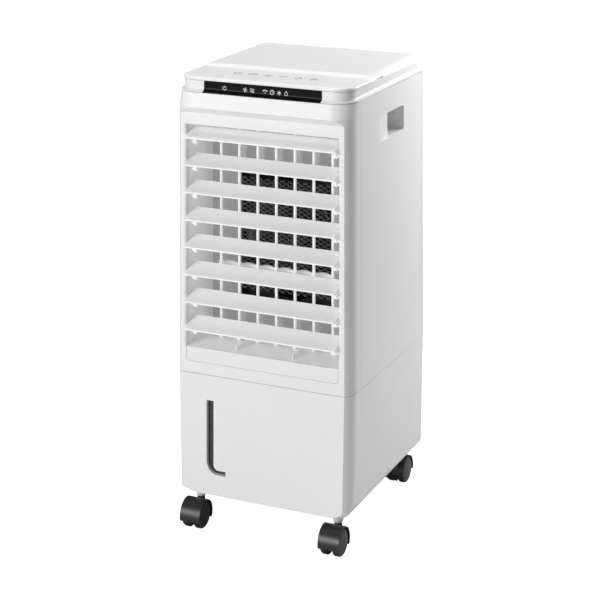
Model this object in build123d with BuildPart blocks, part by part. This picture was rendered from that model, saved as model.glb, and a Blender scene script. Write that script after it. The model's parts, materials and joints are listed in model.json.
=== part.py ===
from build123d import *
import os
from math import asin, cos, radians, sin, sqrt

os.makedirs("parts", exist_ok=True)

# Frame: origin on the floor under the middle of the cabinet, +Z up, -Y is the air outlet side.

# Cabinet shell
HALF_WIDTH = 128.0
HALF_WIDTH_BOTTOM = 124.7
FLAT_FRONT = -133.0
BULGE_FRONT = -141.0
REAR = 140.0
FRONT_RADIUS = 30.0
REAR_RADIUS = 6.5
WALL = 2.5
SEAM = 0.5
BODY_BOTTOM = 50.0
TANK_SEAM = 208.4
BAND_LOW = 563.8
SCOOP_LOW = 555.4
SCOOP_HALF = 118.6
SCOOP_CORNER_R = 14.0
CAP_SEAM = 583.0
BAND_TOP_FRONT = -134.0
FRONT_SEAM_Y = -99.0
REAR_SEAM_Y = 127.0
BOTTOM_CORNER_RADIUS = 28.0
BOTTOM_EDGE_RADIUS = 14.0
CORNER_RUN_OUT = (1.0, 1.0, -0.3)
CORNER_REACH = 60.0
TONGUE = 1.8
TONGUE_FIT = 0.15

# Top cap and control plate
CAP_INSET = 4.0
CAP_FRONT = -129.0
CAP_REAR = 136.0
CAP_FRONT_RADIUS = 24.0
CAP_REAR_RADIUS = 11.5
CAP_FLANGE = 1.6
CAP_FLARE = 3.9
LID_EDGE_R = 10.0
STEP_TOP = 598.0
PLATE_TOP = 603.5
LID_TOP = 607.5
RIDGE_Y = -56.0
RIDGE_RUN = 5.0
DISPLAY_HALF = 85.5
DISPLAY_BOTTOM = 583.5
DISPLAY_BACK = -121.0

# Outlet, blades and vanes
OPENING_HALF = 110.0
OPENING_TOP = 539.6
APRON_LOW = 224.0
SHELF_TOP = 243.0
CHEEK = 1.8
DUCT_FRONT = -54.0
SKIN = 2.4
BLADE_COUNT = 8
BLADE_FIRST_EDGE = 521.7
BLADE_PITCH = 36.4
BLADE_DEPTH = 36.5
BLADE_THICK = 2.0
BLADE_SLOPE = 14.9
BLADE_EDGE_Y = -143.0
BLADE_PIVOT_Y = -121.0
BLADE_PIVOT_DROP = 8.0
BLADE_HALF = 109.0
EAR_IN = 99.5
EAR_OUT = 104.0
EAR_R = 3.0
BLADE_PIN_R = 1.6
CRANK_BACK = 10.5
CRANK_PIN_R = 1.3
BLADE_LINK_X = 105.0
BLADE_LINK_THICK = 3.0
VANE_COUNT = 7
VANE_PITCH = 27.35
VANE_PIVOT_Y = -84.4
VANE_FRONT = 7.5
VANE_CHORD = 28.0
VANE_THICK = 1.6
VANE_REST = 26.0
VANE_LOW = 245.5
VANE_HIGH = 537.6
VANE_PIN_R = 2.0
VANE_LINK_BACK = 15.0
VANE_LINK_Z = 341.0
VANE_LINK_TALL = 4.0
VANE_NOTCH = 10.0
PIN_FIT = 0.08

# Air path
FAN_Z = 379.5
MOUTH_HALF_X = 69.5
MOUTH_HALF_Z = 93.5
GUARD_WIRE = 0.8
GUARD_PITCH = 5.3
GUARD_ANGLE = 28.0
SHROUD_FRONT = -34.0
SHROUD_DEPTH = 38.0
SHROUD_HALF = 100.0
SHROUD_BORE = 88.0
FAN_RADIUS = 84.0
FAN_BLADES = 5
HUB_RADIUS = 24.0
SHAFT_R = 4.0
MOTOR_RADIUS = 38.0
MOTOR_FRONT = 10.0
MOTOR_LENGTH = 42.0
PAD_FRONT = 72.0
PAD_DEPTH = 32.0
PAD_HALF = 104.0
PAD_LOW = 232.0
PAD_HIGH = 538.0

# Water side
TANK_HALF = 118.0
TANK_LOW = 76.0
TANK_HIGH = 201.0
TANK_FRONT = -124.0
TANK_REAR = 134.6
TANK_WALL = 2.5
PUMP_X = 88.0
PUMP_Y = 45.0
TUBE_R = 4.0

# Intake
FILTER_HALF = 104.5
FILTER_LOW = 234.0
FILTER_HIGH = 558.0

# Casters
CASTER_FRONT_X = 100.0
CASTER_REAR_X = 95.0
CASTER_Y = 109.0
TRAIL = 15.0
WHEEL_R = 17.8
WHEEL_IN = 4.2
WHEEL_OUT = 15.0
HOOD_GAP = 0.5
HOOD_SKIN = 1.2
HOOD_HALF = 14.7
STEM_R = 4.0
AXLE_R = 2.5
SOCKET_LOW = 36.5
SOCKET_HIGH = 72.0
SOCKET_R = 7.0
SOCKET_FIT = 0.2
STEM_PLACES = [
    (-CASTER_FRONT_X, -CASTER_Y), (CASTER_FRONT_X, -CASTER_Y),
    (-CASTER_REAR_X, CASTER_Y), (CASTER_REAR_X, CASTER_Y),
]

BIG = 400.0


def body_outline(half_width, bulge, flat, rear, front_radius, rear_radius):
    """Plan outline whose front corner arcs are cut by the flat where it lies behind the bulge."""
    centre_x = half_width - front_radius
    centre_y = bulge + front_radius
    reach = centre_y - flat
    start = asin(reach / front_radius)
    crease = (centre_x + front_radius * cos(start), flat)
    middle = (centre_x + front_radius * cos(start / 2), centre_y - front_radius * sin(start / 2))
    rear_middle = rear_radius * (1 - sqrt(0.5))
    with BuildSketch(Plane.XY) as outline:
        with BuildLine():
            Line((0, flat), crease)
            ThreePointArc(crease, middle, (half_width, centre_y))
            Line((half_width, centre_y), (half_width, rear - rear_radius))
            ThreePointArc(
                (half_width, rear - rear_radius),
                (half_width - rear_middle, rear - rear_middle),
                (half_width - rear_radius, rear),
            )
            Line((half_width - rear_radius, rear), (0, rear))
            mirror(about=Plane.YZ)
        make_face()
    return outline.sketch


def shell_outline(inset, half_width=HALF_WIDTH, bulge=BULGE_FRONT, flat=BULGE_FRONT):
    """Cabinet outline moved inwards by inset."""
    return body_outline(
        half_width - inset, bulge + inset, flat + inset, REAR - inset,
        FRONT_RADIUS - inset, REAR_RADIUS - inset,
    )


def box_between(low, high, mode=Mode.ADD):
    """Box from its lowest to its highest corner, in the active part."""
    size = [high[i] - low[i] for i in range(3)]
    middle = [(high[i] + low[i]) / 2 for i in range(3)]
    with Locations(tuple(middle)):
        Box(size[0], size[1], size[2], mode=mode)


def corner_outline(side, half, low, radius):
    """Outline of what a bottom corner rounding of the flat front takes away."""
    diagonal = radius * (1 - sqrt(0.5))
    far_x = side * (half + radius)
    with BuildSketch(Plane.XY) as outline:
        with BuildLine():
            ThreePointArc(
                (side * (half - radius), low), (side * (half - diagonal), low + diagonal),
                (side * half, low + radius),
            )
            Line((side * half, low + radius), (far_x, low + radius))
            Line((far_x, low + radius), (far_x, low - radius))
            Line((far_x, low - radius), (side * (half - radius), low - radius))
            Line((side * (half - radius), low - radius), (side * (half - radius), low))
        make_face()
    return outline.sketch


def lower_form(inset):
    """Solid form of the drafted base: rounded side edges, and front corners that run out to them."""
    low = BODY_BOTTOM + inset
    with BuildPart() as form:
        with BuildSketch(Plane.XY.offset(low)):
            add(shell_outline(inset, half_width=HALF_WIDTH_BOTTOM, flat=FLAT_FRONT))
        with BuildSketch(Plane.XY.offset(TANK_SEAM)):
            add(shell_outline(inset, flat=FLAT_FRONT))
        loft()
        radius = BOTTOM_EDGE_RADIUS - inset
        half = HALF_WIDTH_BOTTOM - inset
        diagonal = radius * (1 - sqrt(0.5))
        with BuildSketch(Plane.XZ):
            with BuildLine():
                Line((0, low), (half - radius, low))
                ThreePointArc(
                    (half - radius, low), (half - diagonal, low + diagonal), (half, low + radius)
                )
                Line((half, low + radius), (HALF_WIDTH + WALL, TANK_SEAM + WALL))
                Line((HALF_WIDTH + WALL, TANK_SEAM + WALL), (0, TANK_SEAM + WALL))
                mirror(about=Plane.YZ)
            make_face()
        extrude(amount=BIG, both=True, mode=Mode.INTERSECT)
        for side in (-1, 1):
            with BuildSketch(Plane.XZ.offset(-FLAT_FRONT - inset)):
                add(corner_outline(side, half, low, BOTTOM_CORNER_RADIUS - inset))
            run_x, run_y, run_z = CORNER_RUN_OUT
            extrude(amount=CORNER_REACH, dir=(side * run_x, run_y, run_z), mode=Mode.SUBTRACT)
    return form.part


def scoop_space(inset):
    """Space in front of the flat outlet face; its upper corners are rounded on the outer form only."""
    outside = BULGE_FRONT - WALL
    bottom = TANK_SEAM - SEAM
    top = BAND_LOW + inset
    with BuildPart() as space:
        with BuildSketch(Plane.YZ):
            Polygon(
                (FLAT_FRONT + inset, bottom), (FLAT_FRONT + inset, SCOOP_LOW + inset),
                (BULGE_FRONT + inset, top), (outside, top), (outside, bottom), align=None,
            )
        extrude(amount=BIG, both=True)
        if inset == 0:
            with BuildSketch(Plane.XZ):
                with Locations((0, BAND_LOW / 2)):
                    RectangleRounded(2 * SCOOP_HALF, BAND_LOW, SCOOP_CORNER_R)
            extrude(amount=BIG, mode=Mode.INTERSECT)
    return space.part


def upper_form(inset):
    """Solid form of the upper cabinet with the leaning band over the flat outlet face."""
    with BuildPart() as form:
        with BuildSketch(Plane.XY.offset(TANK_SEAM)):
            add(shell_outline(inset))
        extrude(amount=BAND_LOW - TANK_SEAM)
        with BuildSketch(Plane.XY.offset(BAND_LOW)):
            add(shell_outline(inset))
        with BuildSketch(Plane.XY.offset(CAP_SEAM)):
            add(shell_outline(inset, bulge=BAND_TOP_FRONT, flat=BAND_TOP_FRONT))
        loft()
        add(scoop_space(inset), mode=Mode.SUBTRACT)
    return form.part


outer_lower = lower_form(0.0)
inner_lower = lower_form(WALL)
outer_upper = upper_form(0.0)
inner_upper = upper_form(WALL)

# Base housing: drafted lower shell, open at the rear for the water drawer.
WINDOW_LEFT = -79.7
WINDOW_WIDE = 10.2
WINDOW_TOP = 175.0
WINDOW_LOW = 77.5
WINDOW_FOOT = 6.0
WINDOW_RIGHT = -51.8
WINDOW_BEND = 17.0
WINDOW_COLLAR = 2.0
WINDOW_COLLAR_REAR = -125.0
PANE_FRONT = -127.4
PANE_THICK = 1.8
DOOR_HALF = 119.0
DOOR_LOW = 74.0
RAIL_X = 60.0
RAIL_FRONT = -120.0
RAIL_HALF = 3.0
PART_SEAM = SEAM / 2


def window_outline(clearance):
    """L-shaped outline of the level window, grown by clearance."""
    left = WINDOW_LEFT - clearance
    right = WINDOW_LEFT + WINDOW_WIDE + clearance
    low = WINDOW_LOW - clearance
    foot = WINDOW_LOW + WINDOW_FOOT + clearance
    end = WINDOW_RIGHT + clearance
    top = WINDOW_TOP + clearance
    outer = WINDOW_BEND * (1 - sqrt(0.5))
    inner_radius = WINDOW_BEND - WINDOW_WIDE
    inner = inner_radius * (1 - sqrt(0.5))
    with BuildSketch(Plane.XY) as outline:
        with BuildLine():
            Line((left, top), (left, low + WINDOW_BEND))
            ThreePointArc(
                (left, low + WINDOW_BEND), (left + outer, low + outer), (left + WINDOW_BEND, low)
            )
            Line((left + WINDOW_BEND, low), (end, low))
            Line((end, low), (end, foot))
            Line((end, foot), (right + inner_radius, foot))
            ThreePointArc(
                (right + inner_radius, foot), (right + inner, foot + inner),
                (right, foot + inner_radius),
            )
            Line((right, foot + inner_radius), (right, top))
            Line((right, top), (left, top))
        make_face()
    return outline.sketch


LIP_LOW = 200.5
LIP_HIGH = 213.5
LIP_INSET = WALL + TONGUE_FIT

with BuildPart() as base_housing:
    add(outer_lower)
    add(inner_lower, mode=Mode.SUBTRACT)
    box_between(
        (-BIG, -BIG, TANK_SEAM - PART_SEAM), (BIG, BIG, TANK_SEAM + WALL), Mode.SUBTRACT
    )
    with BuildSketch(Plane.XY.offset(LIP_LOW)):
        add(shell_outline(WALL - TONGUE_FIT, flat=FLAT_FRONT))
        add(shell_outline(LIP_INSET + TONGUE, flat=FLAT_FRONT), mode=Mode.SUBTRACT)
        with Locations((0, BIG + REAR_SEAM_Y)):
            Rectangle(BIG, 2 * BIG, mode=Mode.SUBTRACT)
    extrude(amount=TANK_SEAM - PART_SEAM - LIP_LOW)
    with BuildSketch(Plane.XY.offset(TANK_SEAM - WALL)):
        add(shell_outline(LIP_INSET, flat=FLAT_FRONT))
        add(shell_outline(LIP_INSET + TONGUE, flat=FLAT_FRONT), mode=Mode.SUBTRACT)
        with Locations((0, BIG + REAR_SEAM_Y)):
            Rectangle(BIG, 2 * BIG, mode=Mode.SUBTRACT)
    extrude(amount=LIP_HIGH - TANK_SEAM + WALL)
    box_between((-DOOR_HALF, REAR_SEAM_Y, DOOR_LOW), (DOOR_HALF, BIG, BIG), Mode.SUBTRACT)
    for side in (-1, 1):
        box_between(
            (side * RAIL_X - RAIL_HALF, RAIL_FRONT, BODY_BOTTOM + 1),
            (side * RAIL_X + RAIL_HALF, REAR_SEAM_Y, TANK_LOW - SEAM),
        )
    with Locations(*[(x, y, BODY_BOTTOM) for x, y in STEM_PLACES]):
        Cylinder(radius=SOCKET_R + SOCKET_FIT, height=20, mode=Mode.SUBTRACT)
    with BuildSketch(Plane.XZ.offset(-FLAT_FRONT - WALL)):
        add(window_outline(WINDOW_COLLAR))
    extrude(amount=-(WINDOW_COLLAR_REAR - FLAT_FRONT - WALL))
    with BuildSketch(Plane.XZ.offset(-FLAT_FRONT + WALL)):
        add(window_outline(PIN_FIT))
    extrude(amount=-(WINDOW_COLLAR_REAR - FLAT_FRONT + 2 * WALL), mode=Mode.SUBTRACT)
base_housing.part.label = "base_housing"
export_step(base_housing.part, "parts/base_housing.step")

# Level window: dark clear strip sunk in a collar in the front of the base.
with BuildPart() as level_window:
    with BuildSketch(Plane.XZ.offset(-PANE_FRONT)):
        add(window_outline(0.0))
    extrude(amount=-PANE_THICK)
level_window.part.label = "level_window"
export_step(level_window.part, "parts/level_window.step")

# Front panel: upper front shell with the wrapped corners, the band and the outlet opening.
FRAME_FIT = 0.3
FRAME_CORNER = 5.0
RIM_REAR = -126.0
RIM_THICK = 2.5
PILLAR_EDGE_R = 4.0
PILLAR_LOW = SHELF_TOP + 1.0
opening_mid = (APRON_LOW + OPENING_TOP) / 2
opening_tall = OPENING_TOP - APRON_LOW


def opening_outline(grow):
    """Outline of the outlet opening, grown outwards: square above, rounded below."""
    half = OPENING_HALF + grow
    with BuildSketch(Plane.XY) as outline:
        with Locations((0, opening_mid)):
            RectangleRounded(2 * half, opening_tall + 2 * grow, FRAME_CORNER + grow)
        with Locations((0, opening_mid + opening_tall / 4 + grow / 2)):
            Rectangle(2 * half, opening_tall / 2 + grow)
    return outline.sketch


with BuildPart() as front_panel:
    add(outer_upper)
    add(inner_upper, mode=Mode.SUBTRACT)
    box_between(
        (-BIG, -BIG, TANK_SEAM + PART_SEAM), (BIG, FRONT_SEAM_Y - PART_SEAM, CAP_SEAM - PART_SEAM),
        Mode.INTERSECT,
    )
    with BuildSketch(Plane.XZ.offset(-FLAT_FRONT - WALL)):
        add(opening_outline(RIM_THICK))
    extrude(amount=-(RIM_REAR - FLAT_FRONT - WALL))
    with BuildSketch(Plane.XZ.offset(-FLAT_FRONT + WALL)):
        add(opening_outline(0.0))
    extrude(amount=-6 * WALL, mode=Mode.SUBTRACT)
    for side in (-1, 1):
        with BuildSketch(Plane.XY.offset(PILLAR_LOW)):
            with Locations((side * OPENING_HALF, FLAT_FRONT)):
                Rectangle(2 * PILLAR_EDGE_R, 2 * PILLAR_EDGE_R)
            with Locations((side * (OPENING_HALF + PILLAR_EDGE_R), FLAT_FRONT + PILLAR_EDGE_R)):
                Circle(PILLAR_EDGE_R, mode=Mode.SUBTRACT)
        extrude(amount=OPENING_TOP - PILLAR_LOW, mode=Mode.SUBTRACT)
front_panel.part.label = "front_panel"
export_step(front_panel.part, "parts/front_panel.step")

# Handle recess in each side panel: a shallow ramp that leads back to a deep finger pocket.
HANDLE_Y = (-34.0, 57.0)
HANDLE_Z = (515.6, 549.7)
HANDLE_CORNER = 5.0
HANDLE_DEPTH = 26.5
RAMP_DEPTH = 6.0
RAMP_REAR_Y = 10.0
POCKET_WALL = 2.0


def handle_space():
    """Empty space of the handle recess in the right side panel."""
    mouth_mid = ((HANDLE_Y[0] + HANDLE_Y[1]) / 2, (HANDLE_Z[0] + HANDLE_Z[1]) / 2)
    floor_x = HALF_WIDTH - HANDLE_DEPTH
    with BuildPart() as space:
        with BuildSketch(Plane.YZ.offset(HALF_WIDTH + 1)):
            with Locations(mouth_mid):
                RectangleRounded(HANDLE_Y[1] - HANDLE_Y[0], HANDLE_Z[1] - HANDLE_Z[0], HANDLE_CORNER)
        extrude(amount=-HANDLE_DEPTH - 1)
        with BuildSketch(Plane.XY):
            Polygon(
                (HALF_WIDTH + 2, HANDLE_Y[0]), (HALF_WIDTH, HANDLE_Y[0]),
                (HALF_WIDTH - RAMP_DEPTH, RAMP_REAR_Y), (floor_x, RAMP_REAR_Y),
                (floor_x, HANDLE_Y[1]), (HALF_WIDTH + 2, HANDLE_Y[1]), align=None,
            )
        extrude(amount=2 * BIG, mode=Mode.INTERSECT)
    return space.part


TONGUE_FRONT_REACH = 6.0
TONGUE_REAR_REACH = 2.0
TONGUE_ROOT = 8.0
TONGUE_LOW = LIP_HIGH + 2.0
TONGUE_HIGH = CAP_SEAM - 12.0


def side_panel(side):
    """Side shell between the front and rear vertical seams, with tongues behind both seams."""
    wall_inside = HALF_WIDTH - WALL
    with BuildPart() as panel:
        add(outer_upper)
        add(inner_upper, mode=Mode.SUBTRACT)
        box_between(
            (0, FRONT_SEAM_Y + PART_SEAM, TANK_SEAM + PART_SEAM),
            (BIG, REAR_SEAM_Y - PART_SEAM, CAP_SEAM - PART_SEAM), Mode.INTERSECT,
        )
        for low_y, high_y, root_low, root_high in (
            (FRONT_SEAM_Y - TONGUE_FRONT_REACH, FRONT_SEAM_Y + TONGUE_ROOT,
             FRONT_SEAM_Y + PART_SEAM, FRONT_SEAM_Y + TONGUE_ROOT),
            (REAR_SEAM_Y - TONGUE_ROOT, REAR_SEAM_Y + TONGUE_REAR_REACH,
             REAR_SEAM_Y - TONGUE_ROOT, REAR_SEAM_Y - PART_SEAM),
        ):
            box_between(
                (wall_inside - TONGUE_FIT - TONGUE, low_y, TONGUE_LOW),
                (wall_inside - TONGUE_FIT, high_y, TONGUE_HIGH),
            )
            box_between(
                (wall_inside - TONGUE, root_low, TONGUE_LOW),
                (wall_inside + SEAM, root_high, TONGUE_HIGH),
            )
        box_between(
            (HALF_WIDTH - HANDLE_DEPTH - POCKET_WALL, RAMP_REAR_Y - POCKET_WALL,
             HANDLE_Z[0] - POCKET_WALL),
            (HALF_WIDTH - SEAM, HANDLE_Y[1] + POCKET_WALL, HANDLE_Z[1] + POCKET_WALL),
        )
        box_between(
            (HALF_WIDTH - RAMP_DEPTH - POCKET_WALL, HANDLE_Y[0] - POCKET_WALL,
             HANDLE_Z[0] - POCKET_WALL),
            (HALF_WIDTH - SEAM, RAMP_REAR_Y, HANDLE_Z[1] + POCKET_WALL),
        )
        add(handle_space(), mode=Mode.SUBTRACT)
    if side > 0:
        return panel.part
    return panel.part.mirror(Plane.YZ)


right_side_panel = side_panel(1)
right_side_panel.label = "right_side_panel"
export_step(right_side_panel, "parts/right_side_panel.step")

left_side_panel = side_panel(-1)
left_side_panel.label = "left_side_panel"
export_step(left_side_panel, "parts/left_side_panel.step")

# Back panel with the intake opening and its screw holes.
SCREW_X = 116.5
SCREW_Z = (220.0, 335.0, 450.0, 565.0)
SCREW_SHANK_R = 1.7
SCREW_HEAD_R = 3.4
SCREW_HEAD = 2.2
SCREW_RECESS = 3.0
SCREW_LONG = 9.0
SCREW_EDGE_R = 0.9
SCREW_SLOT = 4.2
SCREW_SLOT_WIDE = 0.9
SCREW_SLOT_DEEP = 1.2
SCREW_SEAT = 2.0
CORD_X = -96.0
CORD_Z = 221.0
CORD_R = 2.8
CORD_RELIEF_R = 5.0
CORD_OUT = 145.0
CORD_TURN_Z = 468.0
CORD_UP_X = -110.0
CORD_DOWN_X = -121.0
PEG_X = (CORD_UP_X + CORD_DOWN_X) / 2
PEG_Z = 459.0
PEG_R = 2.2
PEG_OUT = 10.8
PEG_HEAD = 12.0
PEG_HEAD_THICK = 1.6
screw_places = [(x, z) for x in (-SCREW_X, SCREW_X) for z in SCREW_Z]

with BuildPart() as back_panel:
    add(outer_upper)
    add(inner_upper, mode=Mode.SUBTRACT)
    box_between(
        (-BIG, REAR_SEAM_Y + PART_SEAM, TANK_SEAM + PART_SEAM), (BIG, BIG, CAP_SEAM - PART_SEAM),
        Mode.INTERSECT,
    )
    with BuildSketch(Plane.XZ.offset(-REAR)):
        with Locations(*screw_places):
            Circle(SCREW_HEAD_R + SCREW_SEAT)
    extrude(amount=SCREW_RECESS + SCREW_SEAT)
    with BuildSketch(Plane.XZ.offset(-REAR)):
        with Locations(*screw_places):
            Circle(SCREW_HEAD_R + SEAM)
    extrude(amount=SCREW_RECESS, mode=Mode.SUBTRACT)
    with BuildSketch(Plane.XZ.offset(-REAR)):
        with Locations(*screw_places):
            Circle(SCREW_SHANK_R + PIN_FIT)
    extrude(amount=3 * WALL, mode=Mode.SUBTRACT)
    with BuildSketch(Plane.XZ.offset(-REAR)):
        with Locations((0, (FILTER_LOW + FILTER_HIGH) / 2)):
            RectangleRounded(2 * FILTER_HALF + 1, FILTER_HIGH - FILTER_LOW + 1, 6.0)
        with Locations((CORD_X, CORD_Z)):
            Circle(CORD_RELIEF_R + PIN_FIT)
    extrude(amount=4 * WALL, mode=Mode.SUBTRACT)
    with BuildSketch(Plane.XZ.offset(-REAR + 1)):
        with Locations((PEG_X, PEG_Z)):
            Circle(PEG_R)
    extrude(amount=-PEG_OUT)
    with BuildSketch(Plane.XZ.offset(-REAR + 1 - PEG_OUT)):
        with Locations((PEG_X, PEG_Z)):
            SlotOverall(PEG_HEAD, 5.0)
    extrude(amount=PEG_HEAD_THICK)
back_panel.part.label = "back_panel"
export_step(back_panel.part, "parts/back_panel.step")

# Case screws: eight pan heads in the back panel, one separate solid each.
with BuildPart() as case_screws:
    with BuildSketch(Plane.XZ.offset(-(REAR - SCREW_RECESS + PIN_FIT))):
        with Locations(*screw_places):
            Circle(SCREW_HEAD_R)
    extrude(amount=-SCREW_HEAD)
    fillet(case_screws.faces().sort_by(Axis.Y)[-len(screw_places):].edges(), SCREW_EDGE_R)
    with BuildSketch(Plane.XZ.offset(-(REAR - SCREW_RECESS + PIN_FIT))):
        with Locations(*screw_places):
            Circle(SCREW_SHANK_R)
    extrude(amount=SCREW_LONG)
    with BuildSketch(Plane.XZ.offset(-REAR)):
        with Locations(*screw_places):
            Rectangle(SCREW_SLOT, SCREW_SLOT_WIDE)
            Rectangle(SCREW_SLOT_WIDE, SCREW_SLOT)
    extrude(amount=SCREW_RECESS - SCREW_HEAD + SCREW_SLOT_DEEP, mode=Mode.SUBTRACT)
case_screws.part.label = "case_screws"
export_step(case_screws.part, "parts/case_screws.step")


def cap_outline(grow=0.0):
    """Plan outline of the cap above its flare."""
    return body_outline(
        HALF_WIDTH - CAP_INSET + grow, CAP_FRONT - grow, CAP_FRONT - grow, CAP_REAR + grow,
        CAP_FRONT_RADIUS + grow, CAP_REAR_RADIUS + grow,
    )


# Top cap: flange, concave flare, low front step for the control plate and a raised rear shelf.
with BuildPart() as cap_form:
    with BuildSketch(Plane.XY.offset(CAP_SEAM + PART_SEAM)):
        add(shell_outline(0.0, bulge=BAND_TOP_FRONT, flat=BAND_TOP_FRONT))
    extrude(amount=CAP_FLANGE)
    with BuildSketch(Plane.XY.offset(CAP_SEAM + PART_SEAM + CAP_FLANGE)):
        add(cap_outline())
    extrude(amount=LID_TOP - CAP_SEAM - PART_SEAM - CAP_FLANGE)
    flange_face = cap_form.faces().filter_by(Axis.Z).group_by(Axis.Z)[1].sort_by(SortBy.AREA)[0]
    root_edges = flange_face.inner_wires()[0].edges()
    fillet(root_edges, CAP_FLARE)
    top_edges = cap_form.faces().sort_by(Axis.Z)[-1].edges()
    fillet(top_edges, LID_EDGE_R)
    with BuildSketch(Plane.YZ):
        Polygon(
            (-BIG, STEP_TOP), (RIDGE_Y, STEP_TOP), (RIDGE_Y, PLATE_TOP),
            (RIDGE_Y + RIDGE_RUN, LID_TOP + 0.01), (-BIG, LID_TOP + 0.01), align=None,
        )
    extrude(amount=BIG, both=True, mode=Mode.SUBTRACT)

NOTCH_Y = (-36.0, -12.0)
NOTCH_Z = (598.6, 600.6)
NOTCH_DEPTH = 2.5
SKIRT = 3.0
SKIRT_DROP = 8.0
SKIRT_FRONT = BULGE_FRONT + 14.0
HOLLOW_FRONT = CAP_FRONT + 9.0
LID_HOLLOW_SIDE = 18.0
LID_HOLLOW_REAR = 13.0
DISPLAY_FIT = 0.15
with BuildPart() as top_cap:
    add(cap_form.part)
    with BuildSketch(Plane.XY.offset(CAP_SEAM - 1)):
        add(body_outline(
            HALF_WIDTH - CAP_INSET - WALL, HOLLOW_FRONT, HOLLOW_FRONT, CAP_REAR - WALL,
            CAP_FRONT_RADIUS - WALL, CAP_REAR_RADIUS - WALL,
        ))
    extrude(amount=STEP_TOP - WALL - CAP_SEAM + 1, mode=Mode.SUBTRACT)
    box_between(
        (-HALF_WIDTH + LID_HOLLOW_SIDE, RIDGE_Y + 2 * RIDGE_RUN, STEP_TOP - WALL - 1),
        (HALF_WIDTH - LID_HOLLOW_SIDE, CAP_REAR - LID_HOLLOW_REAR, LID_TOP - WALL), Mode.SUBTRACT,
    )
    box_between(
        (-DISPLAY_HALF - DISPLAY_FIT, -BIG, CAP_SEAM - 1),
        (DISPLAY_HALF + DISPLAY_FIT, DISPLAY_BACK, STEP_TOP + 1), Mode.SUBTRACT,
    )
    with BuildSketch(Plane.XY.offset(CAP_SEAM - SKIRT_DROP)):
        add(shell_outline(LIP_INSET, bulge=BAND_TOP_FRONT, flat=BAND_TOP_FRONT))
        add(
            shell_outline(LIP_INSET + SKIRT, bulge=BAND_TOP_FRONT, flat=BAND_TOP_FRONT),
            mode=Mode.SUBTRACT,
        )
        with Locations((0, -BIG + DISPLAY_BACK + WALL)):
            Rectangle(2 * (DISPLAY_HALF + DISPLAY_FIT), 2 * BIG, mode=Mode.SUBTRACT)
        with Locations((0, -BIG / 2 + SKIRT_FRONT)):
            Rectangle(2 * BIG, BIG, mode=Mode.SUBTRACT)
    extrude(amount=SKIRT_DROP + PART_SEAM + CAP_FLANGE)
    for side in (-1, 1):
        wall_x = side * (HALF_WIDTH - CAP_INSET)
        box_between(
            (wall_x - NOTCH_DEPTH, NOTCH_Y[0], NOTCH_Z[0]),
            (wall_x + NOTCH_DEPTH, NOTCH_Y[1], NOTCH_Z[1]), Mode.SUBTRACT,
        )
        box_between(
            (wall_x - 1, RIDGE_Y - 1, STEP_TOP - PART_SEAM),
            (wall_x + 1, NOTCH_Y[0] + 1, STEP_TOP + PART_SEAM), Mode.SUBTRACT,
        )
top_cap.part.label = "top_cap"
export_step(top_cap.part, "parts/top_cap.step")

# Display window: gloss strip that follows the flare of the cap front.
with BuildPart() as display_window:
    add(cap_form.part)
    box_between(
        (-DISPLAY_HALF, -BIG, DISPLAY_BOTTOM), (DISPLAY_HALF, DISPLAY_BACK - DISPLAY_FIT, STEP_TOP - PIN_FIT),
        Mode.INTERSECT,
    )
display_window.part.label = "display_window"
export_step(display_window.part, "parts/display_window.step")

# Control plate: touch plate over the front step, its front edge rounded.
PLATE_GROW = 1.0
PLATE_EDGE_R = 3.2
PLATE_FOOT_R = 0.8
with BuildPart() as control_plate:
    with BuildSketch(Plane.XY.offset(STEP_TOP + SEAM)):
        add(cap_outline(PLATE_GROW))
    extrude(amount=PLATE_TOP - STEP_TOP - SEAM)
    fillet(control_plate.faces().sort_by(Axis.Z)[-1].edges(), PLATE_EDGE_R)
    fillet(control_plate.faces().sort_by(Axis.Z)[0].edges(), PLATE_FOOT_R)
    box_between((-BIG, -BIG, 0), (BIG, RIDGE_Y - 0.2, BIG * 2), Mode.INTERSECT)
control_plate.part.label = "control_plate"
export_step(control_plate.part, "parts/control_plate.step")

# Control board under the step, with a row of touch springs and two chips below it.
BOARD_Z = 589.0
BOARD_HALF = 90.0
BOARD_FRONT = -115.0
BOARD_REAR = -62.0
BOARD_THICK = 1.6
SPRING_Y = -88.0
SPRING_PITCH = 24.0
SPRING_COUNT = 6
SPRING_R = 6.0
SPRING_TALL = 3.5
LARGE_CHIP = (20.0, 14.0, 5.0)
SMALL_CHIP = (12.0, 12.0, 3.0)
with BuildPart() as control_board:
    box_between(
        (-BOARD_HALF, BOARD_FRONT, BOARD_Z), (BOARD_HALF, BOARD_REAR, BOARD_Z + BOARD_THICK)
    )
    with Locations((0, SPRING_Y, BOARD_Z + BOARD_THICK)):
        with GridLocations(SPRING_PITCH, 1, SPRING_COUNT, 1):
            Cylinder(
                radius=SPRING_R, height=SPRING_TALL, align=(Align.CENTER, Align.CENTER, Align.MIN)
            )
    with Locations((-40, -75, BOARD_Z)):
        Box(*LARGE_CHIP, align=(Align.CENTER, Align.CENTER, Align.MAX))
    with Locations((30, -80, BOARD_Z)):
        Box(*SMALL_CHIP, align=(Align.CENTER, Align.CENTER, Align.MAX))
control_board.part.label = "control_board"
export_step(control_board.part, "parts/control_board.step")

# Louver frame: flush apron, shelf with two ribs, side cheeks with pivot holes, and roof.
blade_edges = [BLADE_FIRST_EDGE - i * BLADE_PITCH for i in range(BLADE_COUNT)]
blade_pivots = [edge - BLADE_PIVOT_DROP for edge in blade_edges]
vane_xs = [(i - (VANE_COUNT - 1) / 2) * VANE_PITCH for i in range(VANE_COUNT)]
RIB_X = 41.0
RIB_FRONT = -123.0
RIB_HALF = 0.8
RIB_TALL = 4.6
FRAME_REAR = DUCT_FRONT - 0.3
ROOF_TOP = OPENING_TOP + SKIN
CHEEK_FRONT = RIM_REAR + FRAME_FIT

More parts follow.
